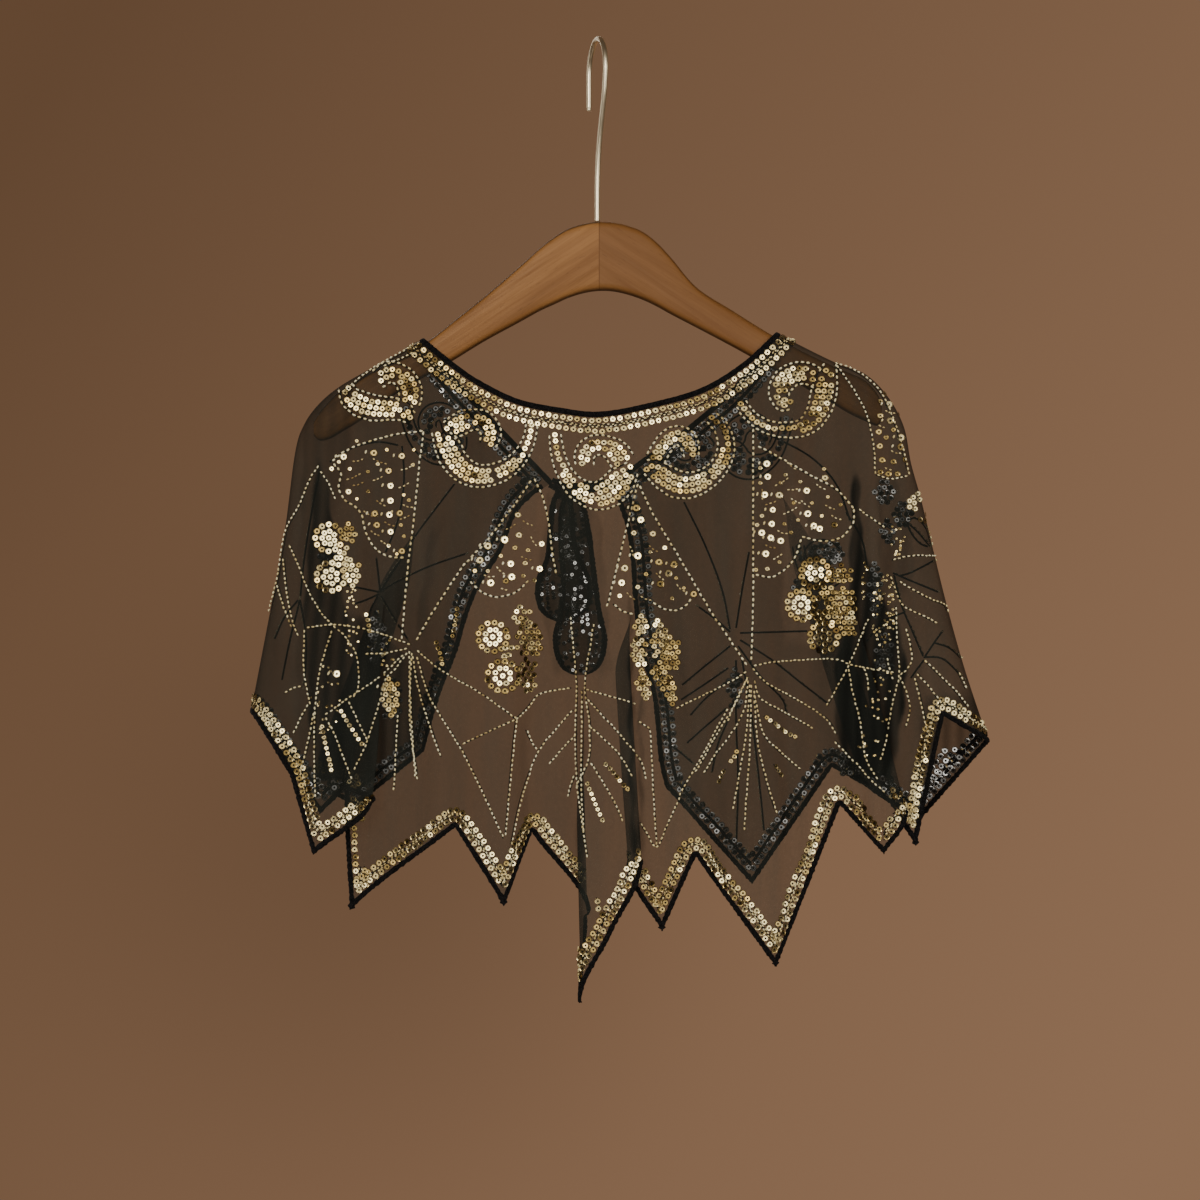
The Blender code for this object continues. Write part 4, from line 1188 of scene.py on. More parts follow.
RAYS = (
    # the left fan
    ((411, 645), (385, 635), (354, 627), (330, 625), (306, 628)),
    ((408, 648), (385, 653), (366, 654)),
    ((417, 650), (443, 671), (482, 694), (516, 719)),
    ((410, 650), (410, 690), (411, 730), (418, 779)),
    ((412, 652), (411, 700), (416, 779)),
    ((417, 656), (432, 700), (462, 750), (484, 795), (504, 840)),
    ((413, 655), (420, 692), (441, 757)),
    ((408, 652), (396, 668), (385, 680), (378, 705), (367, 740), (354, 769)),
    ((404, 654), (380, 676), (349, 698), (324, 716)),
    ((398, 714), (396, 750), (394, 791)),
    # the left side
    ((319, 465), (309, 482), (300, 505), (288, 527), (283, 548)),
    ((320, 471), (329, 484), (336, 500)),
    ((290, 545), (299, 566), (308, 589), (320, 610), (333, 625), (348, 640), (357, 657), (358, 686), (352, 700)),
    ((333, 630), (326, 652), (320, 674), (316, 708), (315, 750), (316, 797)),
    ((305, 629), (304, 652), (305, 676), (311, 704)),
    ((326, 717), (338, 742), (352, 779)),
    ((315, 712), (308, 745), (300, 775)),
    ((284, 693), (294, 688), (302, 686)),
    ((309, 704), (301, 718), (293, 734)),
    ((349, 701), (358, 722), (367, 741)),
    ((283, 548), (278, 580), (271, 608), (264, 640)),
    ((284, 558), (287, 590), (292, 618), (298, 636)),
    ((278, 585), (284, 606), (291, 626)),
    # the open mesh between left and centre
    ((463, 744), (490, 731), (516, 719)),
    ((516, 719), (513, 745), (509, 790), (505, 838)),
    ((571, 688), (555, 690), (538, 695), (527, 708), (516, 719)),
    ((573, 710), (556, 729), (538, 752), (521, 797), (510, 848)),
    ((526, 730), (531, 741), (538, 751)),
    ((577, 734), (563, 748), (549, 764)),
    ((575, 775), (571, 786), (568, 798)),
    # the centre fan
    ((571, 616), (574, 650), (577, 688), (576, 730), (577, 773), (582, 818), (588, 859)),
    ((594, 623), (590, 650), (585, 686), (590, 722), (590, 754), (585, 770), (579, 783)),
    ((582, 690), (583, 730), (582, 780), (584, 830)),
    ((586, 689), (605, 695), (620, 699), (636, 704)),
    ((588, 699), (603, 716), (620, 735), (640, 760), (646, 781)),
    ((590, 726), (606, 741), (620, 756), (632, 776)),
    ((591, 762), (606, 787), (616, 806), (623, 822)),
    ((638, 721), (645, 726), (650, 731), (652, 760), (654, 800), (657, 847)),
    ((638, 819), (647, 834), (657, 847), (667, 826), (678, 802), (683, 788), (706, 750), (728, 708)),
    # the right fan
    ((747, 671), (735, 679), (715, 690), (695, 699), (675, 709)),
    ((748, 676), (737, 700), (720, 730), (703, 760), (694, 774)),
    ((748, 680), (744, 710), (730, 735), (715, 756), (703, 775)),
    ((750, 684), (746, 735), (739, 775), (733, 809)),
    ((751, 684), (750, 744), (747, 790), (744, 833)),
    ((754, 690), (757, 740), (766, 780), (776, 813)),
    ((754, 694), (763, 733), (780, 752), (801, 770)),
    ((754, 680), (760, 698), (785, 713), (814, 729)),
    ((752, 668), (766, 683), (797, 700), (826, 718), (837, 734)),
    ((748, 678), (736, 700), (727, 724)),
    ((753, 666), (773, 662), (803, 660), (834, 659), (851, 665), (872, 669), (892, 672)),
    # the dark folds at the right
    ((870, 618), (860, 636), (849, 664), (836, 690), (827, 706)),
    ((848, 668), (853, 695), (861, 730), (866, 757), (878, 780)),
    ((896, 606), (897, 640), (899, 673), (892, 704), (886, 736), (880, 759)),
    ((906, 628), (911, 646), (912, 661), (906, 670), (900, 677), (906, 691), (910, 709), (905, 729)),
    ((864, 668), (868, 678), (869, 692)),
    ((886, 657), (889, 668), (892, 678)),
    ((835, 741), (857, 764), (883, 792)),
    ((892, 560), (911, 556), (936, 556)),
    ((858, 509), (873, 519), (885, 529)),
    ((899, 581), (917, 592), (932, 600), (944, 605), (947, 612)),
    ((890, 576), (896, 592), (903, 605), (921, 615), (938, 624)),
    ((917, 673), (930, 688), (944, 709)),
    ((915, 677), (921, 700), (928, 731)),
    ((924, 660), (942, 678), (956, 692), (968, 708)),
    ((958, 672), (966, 690)),
    ((834, 364), (850, 369), (864, 377), (876, 388), (885, 401), (892, 417), (898, 434), (903, 452), (908, 474)),
    ((836, 366), (848, 381), (858, 397), (866, 413), (871, 432), (874, 452), (875, 474)),
    ((876, 475), (890, 479), (907, 476)),
    ((411, 348), (395, 357), (377, 367), (361, 378), (349, 388)),
    ((414, 353), (399, 360), (384, 367)),
)
SHINY_ROWS = (
    ((340, 709), (348, 722), (356, 735), (364, 748)),
    ((322, 724), (326, 745), (332, 772)),
    ((604, 762), (613, 772), (621, 782), (628, 789)),
    ((587, 781), (594, 800), (604, 823)),
    ((764, 716), (774, 723), (784, 731), (795, 737)),
    ((738, 749), (735, 755), (731, 761)),
    ((725, 769), (722, 776), (719, 783)),
    ((774, 764), (778, 771), (783, 778)),
    ((366, 612), (368, 624), (370, 634)),
    ((436, 640), (440, 652), (443, 668)),
    ((458, 606), (456, 622), (453, 636)),
)
# Loose sequins inside the petals: steps across and down, size, and tone from 0 to 1.
LOOSE = (
    (344, 457, 1.15, 0.95), (374, 453, 1.15, 0.45), (402, 456, 1.1, 0.5), (389, 471, 1.1, 0.4), (391, 486, 1.1, 1.0),
    (391, 501, 1.15, 1.0), (375, 514, 1.1, 0.45), (390, 515, 1.15, 1.0), (400, 513, 1.1, 0.35), (377, 525, 1.1, 0.4),
    (391, 532, 1.05, 0.9), (402, 551, 1.05, 0.4), (389, 546, 0.7, 0.9), (349, 492, 1.0, 0.95), (332, 469, 0.85, 1.0),
    (378, 464, 0.65, 0.8), (413, 465, 0.65, 0.5), (409, 500, 0.65, 0.5), (357, 499, 0.6, 0.6), (387, 450, 0.65, 0.5),
    (368, 472, 0.6, 0.4), (350, 469, 0.7, 0.8), (404, 495, 0.6, 0.5), (368, 491, 0.6, 0.3), (401, 525, 0.65, 0.4),
    (404, 536, 0.6, 0.4), (397, 554, 0.6, 0.5), (357, 441, 0.6, 0.7), (339, 462, 0.65, 0.7), (414, 450, 0.6, 0.5),
    (767, 464, 1.2, 0.9), (768, 477, 1.15, 0.85), (765, 495, 1.2, 0.95), (779, 495, 1.15, 0.75), (807, 491, 1.15, 0.85),
    (825, 478, 1.0, 0.8), (773, 510, 1.05, 0.85), (808, 514, 1.25, 0.9), (772, 524, 1.15, 0.85), (814, 526, 1.15, 0.9),
    (820, 529, 1.15, 0.9), (762, 533, 1.2, 0.95), (771, 538, 1.15, 0.95), (781, 541, 1.2, 0.9), (766, 554, 1.25, 1.0),
    (767, 569, 0.7, 0.8), (756, 570, 0.7, 0.5), (779, 562, 0.65, 0.6), (785, 475, 0.65, 0.6), (780, 483, 0.6, 0.6),
    (760, 468, 0.65, 0.7), (760, 483, 0.65, 0.6), (762, 516, 0.7, 0.7), (757, 525, 0.7, 0.7), (822, 516, 0.65, 0.6),
    (834, 525, 1.0, 0.2), (824, 469, 0.65, 0.6), (784, 524, 0.6, 0.4), (791, 533, 0.6, 0.4), (793, 503, 0.6, 0.4),
    (800, 482, 0.6, 0.5), (812, 503, 0.6, 0.4), (840, 505, 0.6, 0.4), (798, 520, 0.6, 0.5), (828, 497, 0.6, 0.5),
    (518, 515, 0.95, 0.6), (505, 540, 1.3, 0.95), (519, 535, 1.0, 0.7), (488, 546, 1.25, 0.7), (542, 544, 1.0, 0.7),
    (515, 548, 0.8, 0.6), (480, 560, 1.2, 0.65), (501, 556, 0.7, 0.5), (511, 564, 1.2, 0.95), (540, 569, 1.15, 0.95),
    (525, 563, 0.8, 0.6), (512, 577, 1.25, 1.0), (506, 581, 1.0, 0.1), (491, 583, 1.3, 0.75), (488, 571, 0.7, 0.6),
    (475, 571, 0.75, 0.5), (528, 550, 0.7, 0.5), (534, 580, 0.7, 0.6), (523, 576, 0.65, 0.5),
    (641, 520, 1.2, 0.9), (636, 508, 1.2, 0.5), (653, 534, 1.0, 0.8), (634, 533, 0.9, 0.7), (638, 556, 1.3, 1.0),
    (665, 548, 0.8, 0.8), (659, 562, 1.15, 0.3), (674, 564, 1.15, 0.35), (668, 573, 1.2, 0.75), (660, 584, 1.2, 0.3),
    (625, 568, 1.2, 0.95), (622, 583, 1.2, 0.9), (620, 596, 0.8, 0.8), (694, 594, 1.15, 0.4), (638, 587, 0.8, 0.9),
    (646, 574, 0.7, 0.5), (676, 578, 0.6, 0.4), (684, 588, 0.6, 0.4), (650, 552, 0.6, 0.5), (672, 598, 0.6, 0.4),
    (889, 405, 1.2, 1.0), (901, 438, 1.25, 1.0), (890, 421, 1.15, 0.7), (900, 447, 1.2, 0.4), (880, 446, 1.0, 0.6),
    (880, 416, 0.9, 0.6), (879, 432, 1.0, 0.5), (884, 394, 0.9, 0.8), (895, 392, 1.1, 0.9), (882, 460, 1.0, 0.4),
    (893, 462, 0.9, 0.4), (904, 460, 0.9, 0.5), (880, 472, 0.9, 0.3), (888, 474, 1.0, 0.3), (897, 474, 0.9, 0.3),
    (893, 430, 0.8, 0.5), (886, 438, 0.8, 0.4), (906, 425, 0.8, 0.6), (880, 402, 0.7, 0.5), (898, 414, 0.8, 0.6),
    (337, 674, 1.25, 0.95), (385, 687, 1.2, 0.5),
)
# Short rows of three to six beads inside the petals.
DASHES = (
    (372, 458, 386, 464), (400, 470, 413, 466), (346, 480, 360, 474), (352, 486, 364, 482), (372, 481, 384, 476),
    (376, 500, 386, 506), (398, 488, 410, 482), (363, 510, 372, 516), (384, 522, 396, 526), (380, 540, 392, 546),
    (352, 462, 366, 458), (399, 520, 411, 514), (370, 530, 380, 536), (402, 504, 414, 508),
    (774, 486, 788, 478), (786, 490, 800, 488), (764, 505, 778, 500), (782, 514, 796, 508), (800, 500, 812, 508),
    (815, 484, 828, 490), (824, 505, 838, 510), (776, 530, 788, 534), (764, 545, 776, 548), (772, 560, 784, 552),
    (790, 498, 802, 504), (830, 515, 842, 520), (762, 488, 762, 500), (786, 462, 798, 470),
    (505, 530, 516, 524), (522, 520, 534, 526), (496, 566, 504, 574), (520, 556, 532, 560), (530, 536, 538, 548), (483, 575, 494, 577), (500, 588, 510, 590),
    (648, 545, 658, 552), (655, 572, 664, 580), (676, 584, 686, 592), (630, 545, 634, 556), (640, 596, 650, 600), (626, 592, 636, 600),
    (884, 410, 894, 414), (890, 450, 900, 454), (878, 425, 888, 428), (884, 468, 894, 470),
)
# The far layer, whose wrong side shows dark: lines and shapes.
FAR_LINES = (
    ((380, 592), (398, 564), (416, 535), (436, 508), (456, 482)),
    ((380, 592), (396, 582), (430, 566), (468, 553)),
    ((380, 590), (378, 572), (376, 555)),
    ((381, 590), (391, 573), (402, 558)),
    ((379, 592), (360, 588), (340, 584)),
    ((379, 594), (366, 600), (354, 604)),
    ((381, 596), (394, 618), (408, 640)),
    ((378, 596), (370, 612), (366, 640)),
    ((684, 502), (705, 545), (722, 590), (730, 630)),
    ((749, 552), (742, 590), (736, 628)),
    ((730, 632), (714, 618), (696, 605)),
    ((740, 633), (775, 632), (810, 631)),
    ((730, 646), (705, 666), (681, 686)),
    ((728, 668), (705, 684), (681, 700)),
    ((726, 682), (706, 698), (688, 718)),
    ((727, 708), (706, 726), (686, 744)),
    ((728, 720), (718, 744), (712, 772)),
    ((740, 640), (772, 660), (800, 682), (827, 703)),
    ((738, 646), (760, 676), (783, 700), (786, 716)),
    ((736, 660), (736, 720), (738, 780), (736, 850)),
    ((742, 660), (752, 720), (760, 790), (764, 832)),
    ((752, 428), (780, 440), (812, 458), (836, 484), (850, 520)),
    ((846, 512), (862, 540), (868, 574)),
    ((330, 462), (352, 448), (378, 442), (402, 446)),
    ((402, 446), (404, 480), (398, 520), (384, 556)),
    ((905, 612), (882, 622), (868, 640)),
    ((899, 576), (910, 573), (922, 567), (935, 560)),
    ((893, 573), (914, 582), (941, 593)),
    ((894, 575), (902, 606), (912, 630), (924, 658)),
    ((924, 658), (934, 643), (944, 629)),
    ((935, 643), (948, 647), (958, 655), (966, 666)),
    ((924, 657), (941, 658), (954, 668), (966, 682)),
    ((924, 660), (918, 668), (911, 678)),
    ((906, 521), (916, 518), (926, 528), (931, 545)),
    ((906, 521), (912, 534), (921, 544), (931, 547)),
    ((908, 523), (918, 532), (930, 546)),
    ((300, 600), (306, 640), (304, 690)),
    ((300, 600), (290, 640), (282, 680)),
    ((298, 600), (284, 618), (274, 640)),
    ((320, 470), (312, 510), (304, 560), (300, 600)),
    ((664, 741), (680, 752), (694, 764)),
)
# Glints of small sequins in the gathered net: step across, step down, half width, half height, how many.
GLINTS = (
    (883, 612, 11, 40, 70), (897, 538, 7, 18, 18), (864, 586, 3, 14, 10), (866, 566, 3, 6, 5), (876, 694, 14, 40, 24),
    (352, 622, 8, 38, 26), (326, 700, 14, 38, 24), (386, 652, 8, 24, 14), (868, 748, 12, 14, 10),
)
FAR_VOLUTES = ((437, 428, 1, 0.72), (752, 440, -1, 0.8), (690, 452, 1, 0.6), (820, 560, 1, 0.5))


def sew_near(work, layer):
    for k, line in enumerate(PETAL_LINES):
        row_of(work, on(layer, line), "bead")
    for line in RAYS:
        row_of(work, on(layer, line), "bead", size=0.84, pitch=3.55, bias=-0.05)
    for line in SHINY_ROWS:
        row_of(work, on(layer, line), "sequin", size=0.76, bias=0.2)
    for u0, v0, u1, v1 in DASHES:
        row_of(work, on(layer, ((u0, v0), ((u0 + u1) / 2, (v0 + v1) / 2 + 1), (u1, v1)), 1.0), "bead", size=0.72, pitch=3.2, bias=-0.35, thread=False)
    loose = np.array(LOOSE)
    dotted(work, layer, loose[:, :2], loose[:, 2], tone=loose[:, 3] + 0.08)
    for u, v in loose[loose[:, 2] > 1.02, :2]:  # a bead holds each of the larger discs
        row_of(work, on(layer, ((u - 6, v - 3), (u - 8, v), (u - 6, v + 4)), 1.0), "bead", thread=False)

    def scroll(u, v, hand, scale=1.0, bias=0.0, strokes=VOLUTE):
        band(
            work,
            layer,
            [[(u + hand * du * scale, v + dv * scale, wide) for du, dv, wide in rows] for rows in strokes],
            bias,
        )

    # five scrolls below the neck, each turned its own way
    band(work, layer, [
        [(346, 387, 1.4), (351, 397, 2.6), (361, 404, 3.2), (375, 408, 3.2), (390, 409, 2.8), (402, 411, 2.4), (413, 420, 1.0)],
        [(409, 405, 2.4), (411, 394, 2.8), (407, 382, 2.8), (398, 374, 2.4), (388, 373, 2.4), (379, 379, 2.0)],
    ], 0.02)
    band(work, layer, [
        [(532, 424, 1.0), (529, 440, 1.2), (520, 457, 1.6), (505, 470, 2.2), (486, 476, 2.6), (468, 473, 3.0), (455, 461, 3.3), (447, 446, 3.2), (438, 431, 1.2)],
        [(448, 432, 2.2), (460, 424, 2.8), (473, 420, 2.4), (485, 422, 2.4), (491, 433, 2.4), (488, 445, 1.8)],
    ], 0.10)
    band(work, layer, [
        [(555, 434, 1.0), (558, 455, 1.3), (566, 475, 1.8), (578, 489, 2.6), (594, 496, 3.4), (609, 492, 4.0), (621, 481, 3.8), (633, 467, 1.4)],
        [(623, 462, 3.2), (616, 452, 3.0), (605, 446, 2.4), (593, 446, 2.4), (585, 454, 2.4), (585, 465, 2.0)],
    ], 0.08)
    band(work, layer, [
        [(711, 417, 1.2), (722, 430, 1.6), (726, 446, 1.8), (722, 462, 2.0), (710, 476, 2.4), (695, 484, 3.0), (679, 485, 3.4), (665, 478, 3.2), (653, 470, 2.4), (643, 466, 1.0)],
        [(655, 460, 2.4), (661, 449, 2.2), (669, 439, 2.2), (680, 436, 2.2), (689, 444, 2.2), (691, 455, 1.6)],
    ], -0.08)
    band(work, layer, [
        [(740, 403, 1.0), (749, 415, 1.0), (762, 425, 1.2), (780, 430, 1.5), (799, 429, 1.8), (812, 421, 2.4), (820, 407, 3.0), (824, 391, 3.2), (827, 377, 2.4), (830, 365, 1.0)],
        [(820, 381, 2.2), (811, 375, 2.4), (800, 373, 2.6), (790, 376, 2.8), (782, 384, 2.8), (779, 394, 2.4), (783, 403, 1.8), (790, 402, 1.0)],
    ], 0.03)

    # groups of flowers
    rosette(work, layer, 329, 538, 13.5, 9, 0.12, 0.98)
    rosette(work, layer, 331, 577, 14.0, 10, 0.12, 0.98)
    dotted(work, layer, [(337, 546), (340, 552), (337, 558), (334, 564), (339, 565), (341, 558)], 1.0, tone=1.0)
    cluster(work, layer, 349, 533, 6, 9, -0.22)
    cluster(work, layer, 352, 573, 8, 13, -0.22)
    cluster(work, layer, 345, 556, 4, 8, -0.2)
    rosette(work, layer, 493, 637, 14.5, 10, 0.10, 0.98)
    rosette(work, layer, 503, 676, 15.0, 11, 0.14, 0.98)
    dotted(work, layer, [(505, 648), (508, 655), (511, 648), (504, 656)], 1.0, tone=0.8)
    cluster(work, layer, 522, 619, 8, 12, -0.02)
    cluster(work, layer, 530, 642, 13, 15, -0.12)
    cluster(work, layer, 527, 675, 8, 16, -0.10)
    cluster(work, layer, 642, 624, 7, 8, -0.16)
    cluster(work, layer, 640, 652, 7, 18, -0.14)
    cluster(work, layer, 644, 686, 7, 13, -0.22)
    cluster(work, layer, 660, 640, 8, 20, -0.2)
    cluster(work, layer, 672, 653, 8, 16, -0.3)
    cluster(work, layer, 661, 674, 8, 12, -0.22)
    cluster(work, layer, 671, 691, 7, 13, -0.26)
    rosette(work, layer, 815, 573, 14.0, 9, 0.05, 0.95)
    rosette(work, layer, 801, 605, 14.5, 10, 0.10, 0.98)
    rosette(work, layer, 824, 637, 14.0, 9, -0.06, 0.7)
    cluster(work, layer, 840, 575, 11, 10, -0.28)
    cluster(work, layer, 829, 596, 10, 8, -0.26)
    cluster(work, layer, 843, 603, 12, 15, -0.32)
    cluster(work, layer, 829, 616, 12, 9, -0.26)
    cluster(work, layer, 848, 628, 8, 10, -0.34)
    cluster(work, layer, 391, 697, 8, 18, -0.42)
    cluster(work, layer, 914, 502, 5, 9, 0.30, 0.35)
    cluster(work, layer, 924, 516, 3, 6, -0.1, 0.3)


def sew_glints(work, layer):
    for u, v, wide, tall, many in GLINTS:
        turn, far = DICE.uniform(0, 2 * math.pi, many), np.sqrt(DICE.uniform(0, 1, many))
        spots = np.stack([u + wide * far * np.cos(turn), v + tall * far * np.sin(turn)], -1)
        dotted(work, layer, spots, DICE.uniform(0.30, 0.45, many), tone=DICE.uniform(0.50, 1.0, many))


def sew_far(work, layer):
    for line in FAR_LINES:
        row_of(work, on(layer, line), "bead", bias=-0.25)
    for u, v, hand, scale in FAR_VOLUTES:
        band(work, layer, [[(u + hand * du * scale, v + dv * scale, wide) for du, dv, wide in rows] for rows in VOLUTE], -0.2)
    for line in (((966, 749), (950, 768), (928, 793)), ((957, 747), (943, 764), (928, 782)), ((947, 748), (937, 761), (928, 773))):
        row_of(work, on(layer, line), "sequin", bias=0.15, thread=False)
    cluster(work, layer, 885, 494, 9, 12, 0.0)
    cluster(work, layer, 903, 516, 9, 12, 0.0)
    cluster(work, layer, 888, 532, 7, 11, 0.0)
    cluster(work, layer, 330, 560, 10, 14, -0.2)
    cluster(work, layer, 348, 572, 6, 9, -0.2)
    cluster(work, layer, 803, 586, 10, 9, -0.2)
    cluster(work, layer, 834, 552, 9, 8, -0.2)
    cluster(work, layer, 378, 640, 8, 26, -0.1)
    cluster(work, layer, 392, 700, 10, 20, -0.1)
    cluster(work, layer, 876, 590, 7, 26, -0.1)
    cluster(work, layer, 884, 656, 8, 26, -0.1)
    cluster(work, layer, 735, 690, 6, 20, -0.2)


# ---------------------------------------------------------------- edges and the rows that follow them
NECK_ROWS = (("sequin", 6.4), ("bead", 9.6), ("bead", 10.9), ("sequin", 14.1))
HEM_ROWS = (("sequin", 6.3), ("bead", 8.8), ("bead", 9.9), ("sequin", 12.5))


def free_edge(cloth, step=0.6):
    """The hem, and on a front also its front edge, at an even step: points, inward ways and outward normals."""
    panel = cloth.panel
    s = np.linspace(0, 1, 9000)
    stretches = [(s, np.ones_like(s), panel.place(s, 0.99) - panel.place(s, 1.0))]
    if cloth is not BACK:
        t = np.linspace(1, 0.03, 3000)
        stretches.append((np.ones_like(t), t, panel.place(0.99, t) - panel.place(1.0, t)))
    s, t, way = (np.concatenate([x[k] for x in stretches]) for k in range(3))
    points = panel.place(s, t)
    at = np.concatenate([[0], np.cumsum(np.linalg.norm(np.diff(points, axis=0), axis=1))])
    where = np.interp(np.arange(0, at[-1], step), at, np.arange(len(points)))
    points, way = read(points, where), read(way, where)
    normals = unit(read(cloth.normal(s, t), where))
    along = unit(np.gradient(points, axis=0))
    inward = unit(way - (way * along).sum(-1, keepdims=True) * along)
    turn = np.degrees(np.arccos(np.clip((inward[:-1] * inward[1:]).sum(-1), -1, 1)))
    extra = np.minimum(np.ceil(turn / 4.0), 30).astype(int)
    where = np.concatenate([np.arange(k, k + 1, 1 / max(n, 1))[: max(n, 1)] for k, n in enumerate(extra)] + [[len(points) - 1.0]])
    return read(points, where), unit(read(inward, where)), unit(read(normals, where))


def inset(points, inward, far, step=0.6, reach=40.0):
    """The edge moved inwards, in unbroken runs, without what would come too near to the edge again."""
    spots = points + inward * far
    window = int(reach / step)
    keep = np.ones(len(points), bool)
    for shift in range(-window, window + 1, 2):
        other = np.clip(np.arange(len(points)) + shift, 0, len(points) - 1)
        keep &= np.linalg.norm(spots - points[other], axis=1) > 0.965 * far
    runs, run = [], []
    for k in range(len(points)):
        if keep[k] and (not run or np.linalg.norm(spots[k] - spots[run[-1]]) < 3.0):
            run.append(k)
        else:
            if len(run) > 8:
                runs.append(np.array(run))
            run = [k] if keep[k] else []
    if len(run) > 8:
        runs.append(np.array(run))
    return spots, runs


def sew_edge_row(work, layer, cloth, kind, spots, normals):
    settled, facing = layer.settle(spots)
    facing = unit(facing + 0.4 * normals)
    if kind == "sequin":
        row_of(work, [(settled[::3], facing[::3])], kind, bias=0.04, start=0.6, shake=0.12, thread=cloth is BACK)
    else:
        row_of(work, [(settled[::3], facing[::3])], kind, size=0.72, bias=-0.28, pitch=3.3, start=0.6, shake=0.35)


def sew_edges(work, cloth):
    layer = Layer(cloth)
    points, inward, normals = EDGES[cloth]
    for kind, far in HEM_ROWS:
        spots, runs = inset(points, inward, far)
        for run in runs:
            settled, facing = layer.settle(spots[run])
            facing = unit(facing + 0.4 * normals[run])
            if cloth is BACK:  # none on the turned part of a pleat, on the folded-in edge at the left or in the narrow fold
                steps = unseen(settled)
                folded_in = (steps[:, 0] > 343) & (steps[:, 0] < 372) & (steps[:, 1] > 822) & (steps[:, 1] < 866)
                narrow = (steps[:, 0] > 572) & (steps[:, 0] < 596) & (steps[:, 1] > 880) & (steps[:, 1] < 922)
                shown = (facing[:, 1] < 0.05) & ~(folded_in & (far > 7)) & ~narrow
                groups = [run[part] for part in np.split(np.arange(len(run)), np.flatnonzero(np.diff(shown.astype(int))) + 1) if shown[part[0]] and len(part) > 8]
            else:
                groups = [run]
            for group in groups:
                sew_edge_row(work, layer, cloth, kind, spots[group], normals[group])
    s = np.linspace(0.0, 1.0, 420)
    if cloth is not BACK:
        s = np.linspace(0.0, 0.97, 300)
    long = np.linalg.norm(cloth.panel.place(s, 0.06) - cloth.panel.place(s, 0.0), axis=-1) / 0.06
    for kind, far in NECK_ROWS:
        t = far / long
        if kind == "sequin":
            row_of(work, [(cloth.panel.place(s, t), cloth.normal(s, t))], kind, bias=0.16, shake=0.10)
        else:
            row_of(work, [(cloth.panel.place(s, t), cloth.normal(s, t))], kind, size=0.72, bias=-0.22, pitch=3.3, shake=0.35)


def edging(name, made_of, lines, half_wide, half_thick, sides=8, inside=0.9):
    """Rolled or stitched edges along lines of points with inward ways and normals, in one piece."""
    points, faces, shift = [], [], 0
    for middle, inward, normals in lines:
        across = unit(inward - (inward * normals).sum(-1, keepdims=True) * normals)
        at = np.concatenate([[0], np.cumsum(np.linalg.norm(np.diff(middle, axis=0), axis=1))])
        rough = 1 + 0.13 * np.sin(at * 2.1 + 1.5 * wave(middle, 14.0, 3)) + 0.10 * wave(middle, 2.2, 3) + DICE.normal(0, 0.07, len(middle))
        core = middle + inward * half_wide * inside
        turn = 2 * math.pi * np.arange(sides) / sides
        c, s = np.cos(turn), np.sin(turn)
        section = (
            core[:, None]
            + across[:, None] * (half_wide * rough)[:, None, None] * c[None, :, None]
            + normals[:, None] * (half_thick * rough)[:, None, None] * s[None, :, None]
        )
        p, f = swept(core, section)
        points.append(p)
        faces.append(f + shift)
        shift += len(p)
    return add(name, np.concatenate(points), np.concatenate(faces), made_of)


# ---------------------------------------------------------------- many small things as one mesh
def disc_form(double):
    """A flat sequin with a raised rim and the dark stitch that fills its hole; double adds its wrong side."""
    k = 12
    turn = 2 * math.pi * np.arange(k) / k
    points = np.concatenate(
        [
            np.stack([radius * np.cos(turn), radius * np.sin(turn), np.full(k, height)], -1)
            for radius, height in ((0.33, 0.0), (0.78, 0.0), (1.0, 0.09))
        ]
    )
    faces = []
    for i in range(2):
        for j in range(k):
            a, b = i * k + j, i * k + (j + 1) % k
            faces += [(a, a + k, b + k), (a, b + k, b)]
    faces = np.array(faces)
    kinds = np.zeros(len(faces))
    if double:
        faces = np.concatenate([faces, faces[:, ::-1] + len(points)])
        kinds = np.repeat([0, 2], len(kinds))
        points = np.concatenate([points, points - (0, 0, 0.62)])
    first = len(points)
    turn = 2 * math.pi * np.arange(6) / 6
    for height in (0.02, -0.60) if double else (0.02,):
        points = np.concatenate([points, np.stack([0.40 * np.cos(turn), 0.40 * np.sin(turn), np.full(6, height - 0.04)], -1)])
        knot = np.array([(first, first + j, first + j + 1) for j in range(1, 5)])
        faces = np.concatenate([faces, knot])
        kinds = np.concatenate([kinds, np.ones(4)])
        first += 6
    return points, faces, kinds


def bead_form():
    k = 6
    turn = 2 * math.pi * (np.arange(k) + 0.5) / k
    points = np.concatenate(
        [
            np.stack([np.full(k, x), r * np.cos(turn), r * np.sin(turn)], -1)
            for x, r in ((-0.5, 0.62), (0.0, 1.0), (0.5, 0.62))
        ]
    )
    faces = []
    for i in range(2):
        for j in range(k):
            a, b = i * k + j, i * k + (j + 1) % k
            faces += [(a, b, b + k), (a, b + k, a + k)]
    for j in range(1, k - 1):
        faces += [(0, j + 1, j), (2 * k, 2 * k + j, 2 * k + j + 1)]
    return points, np.array(faces), np.zeros(len(faces))


TO_THE_LIGHT = unit(np.array([-0.185, -0.965, 0.17]))  # a sequin lying like this throws the key light at the eye


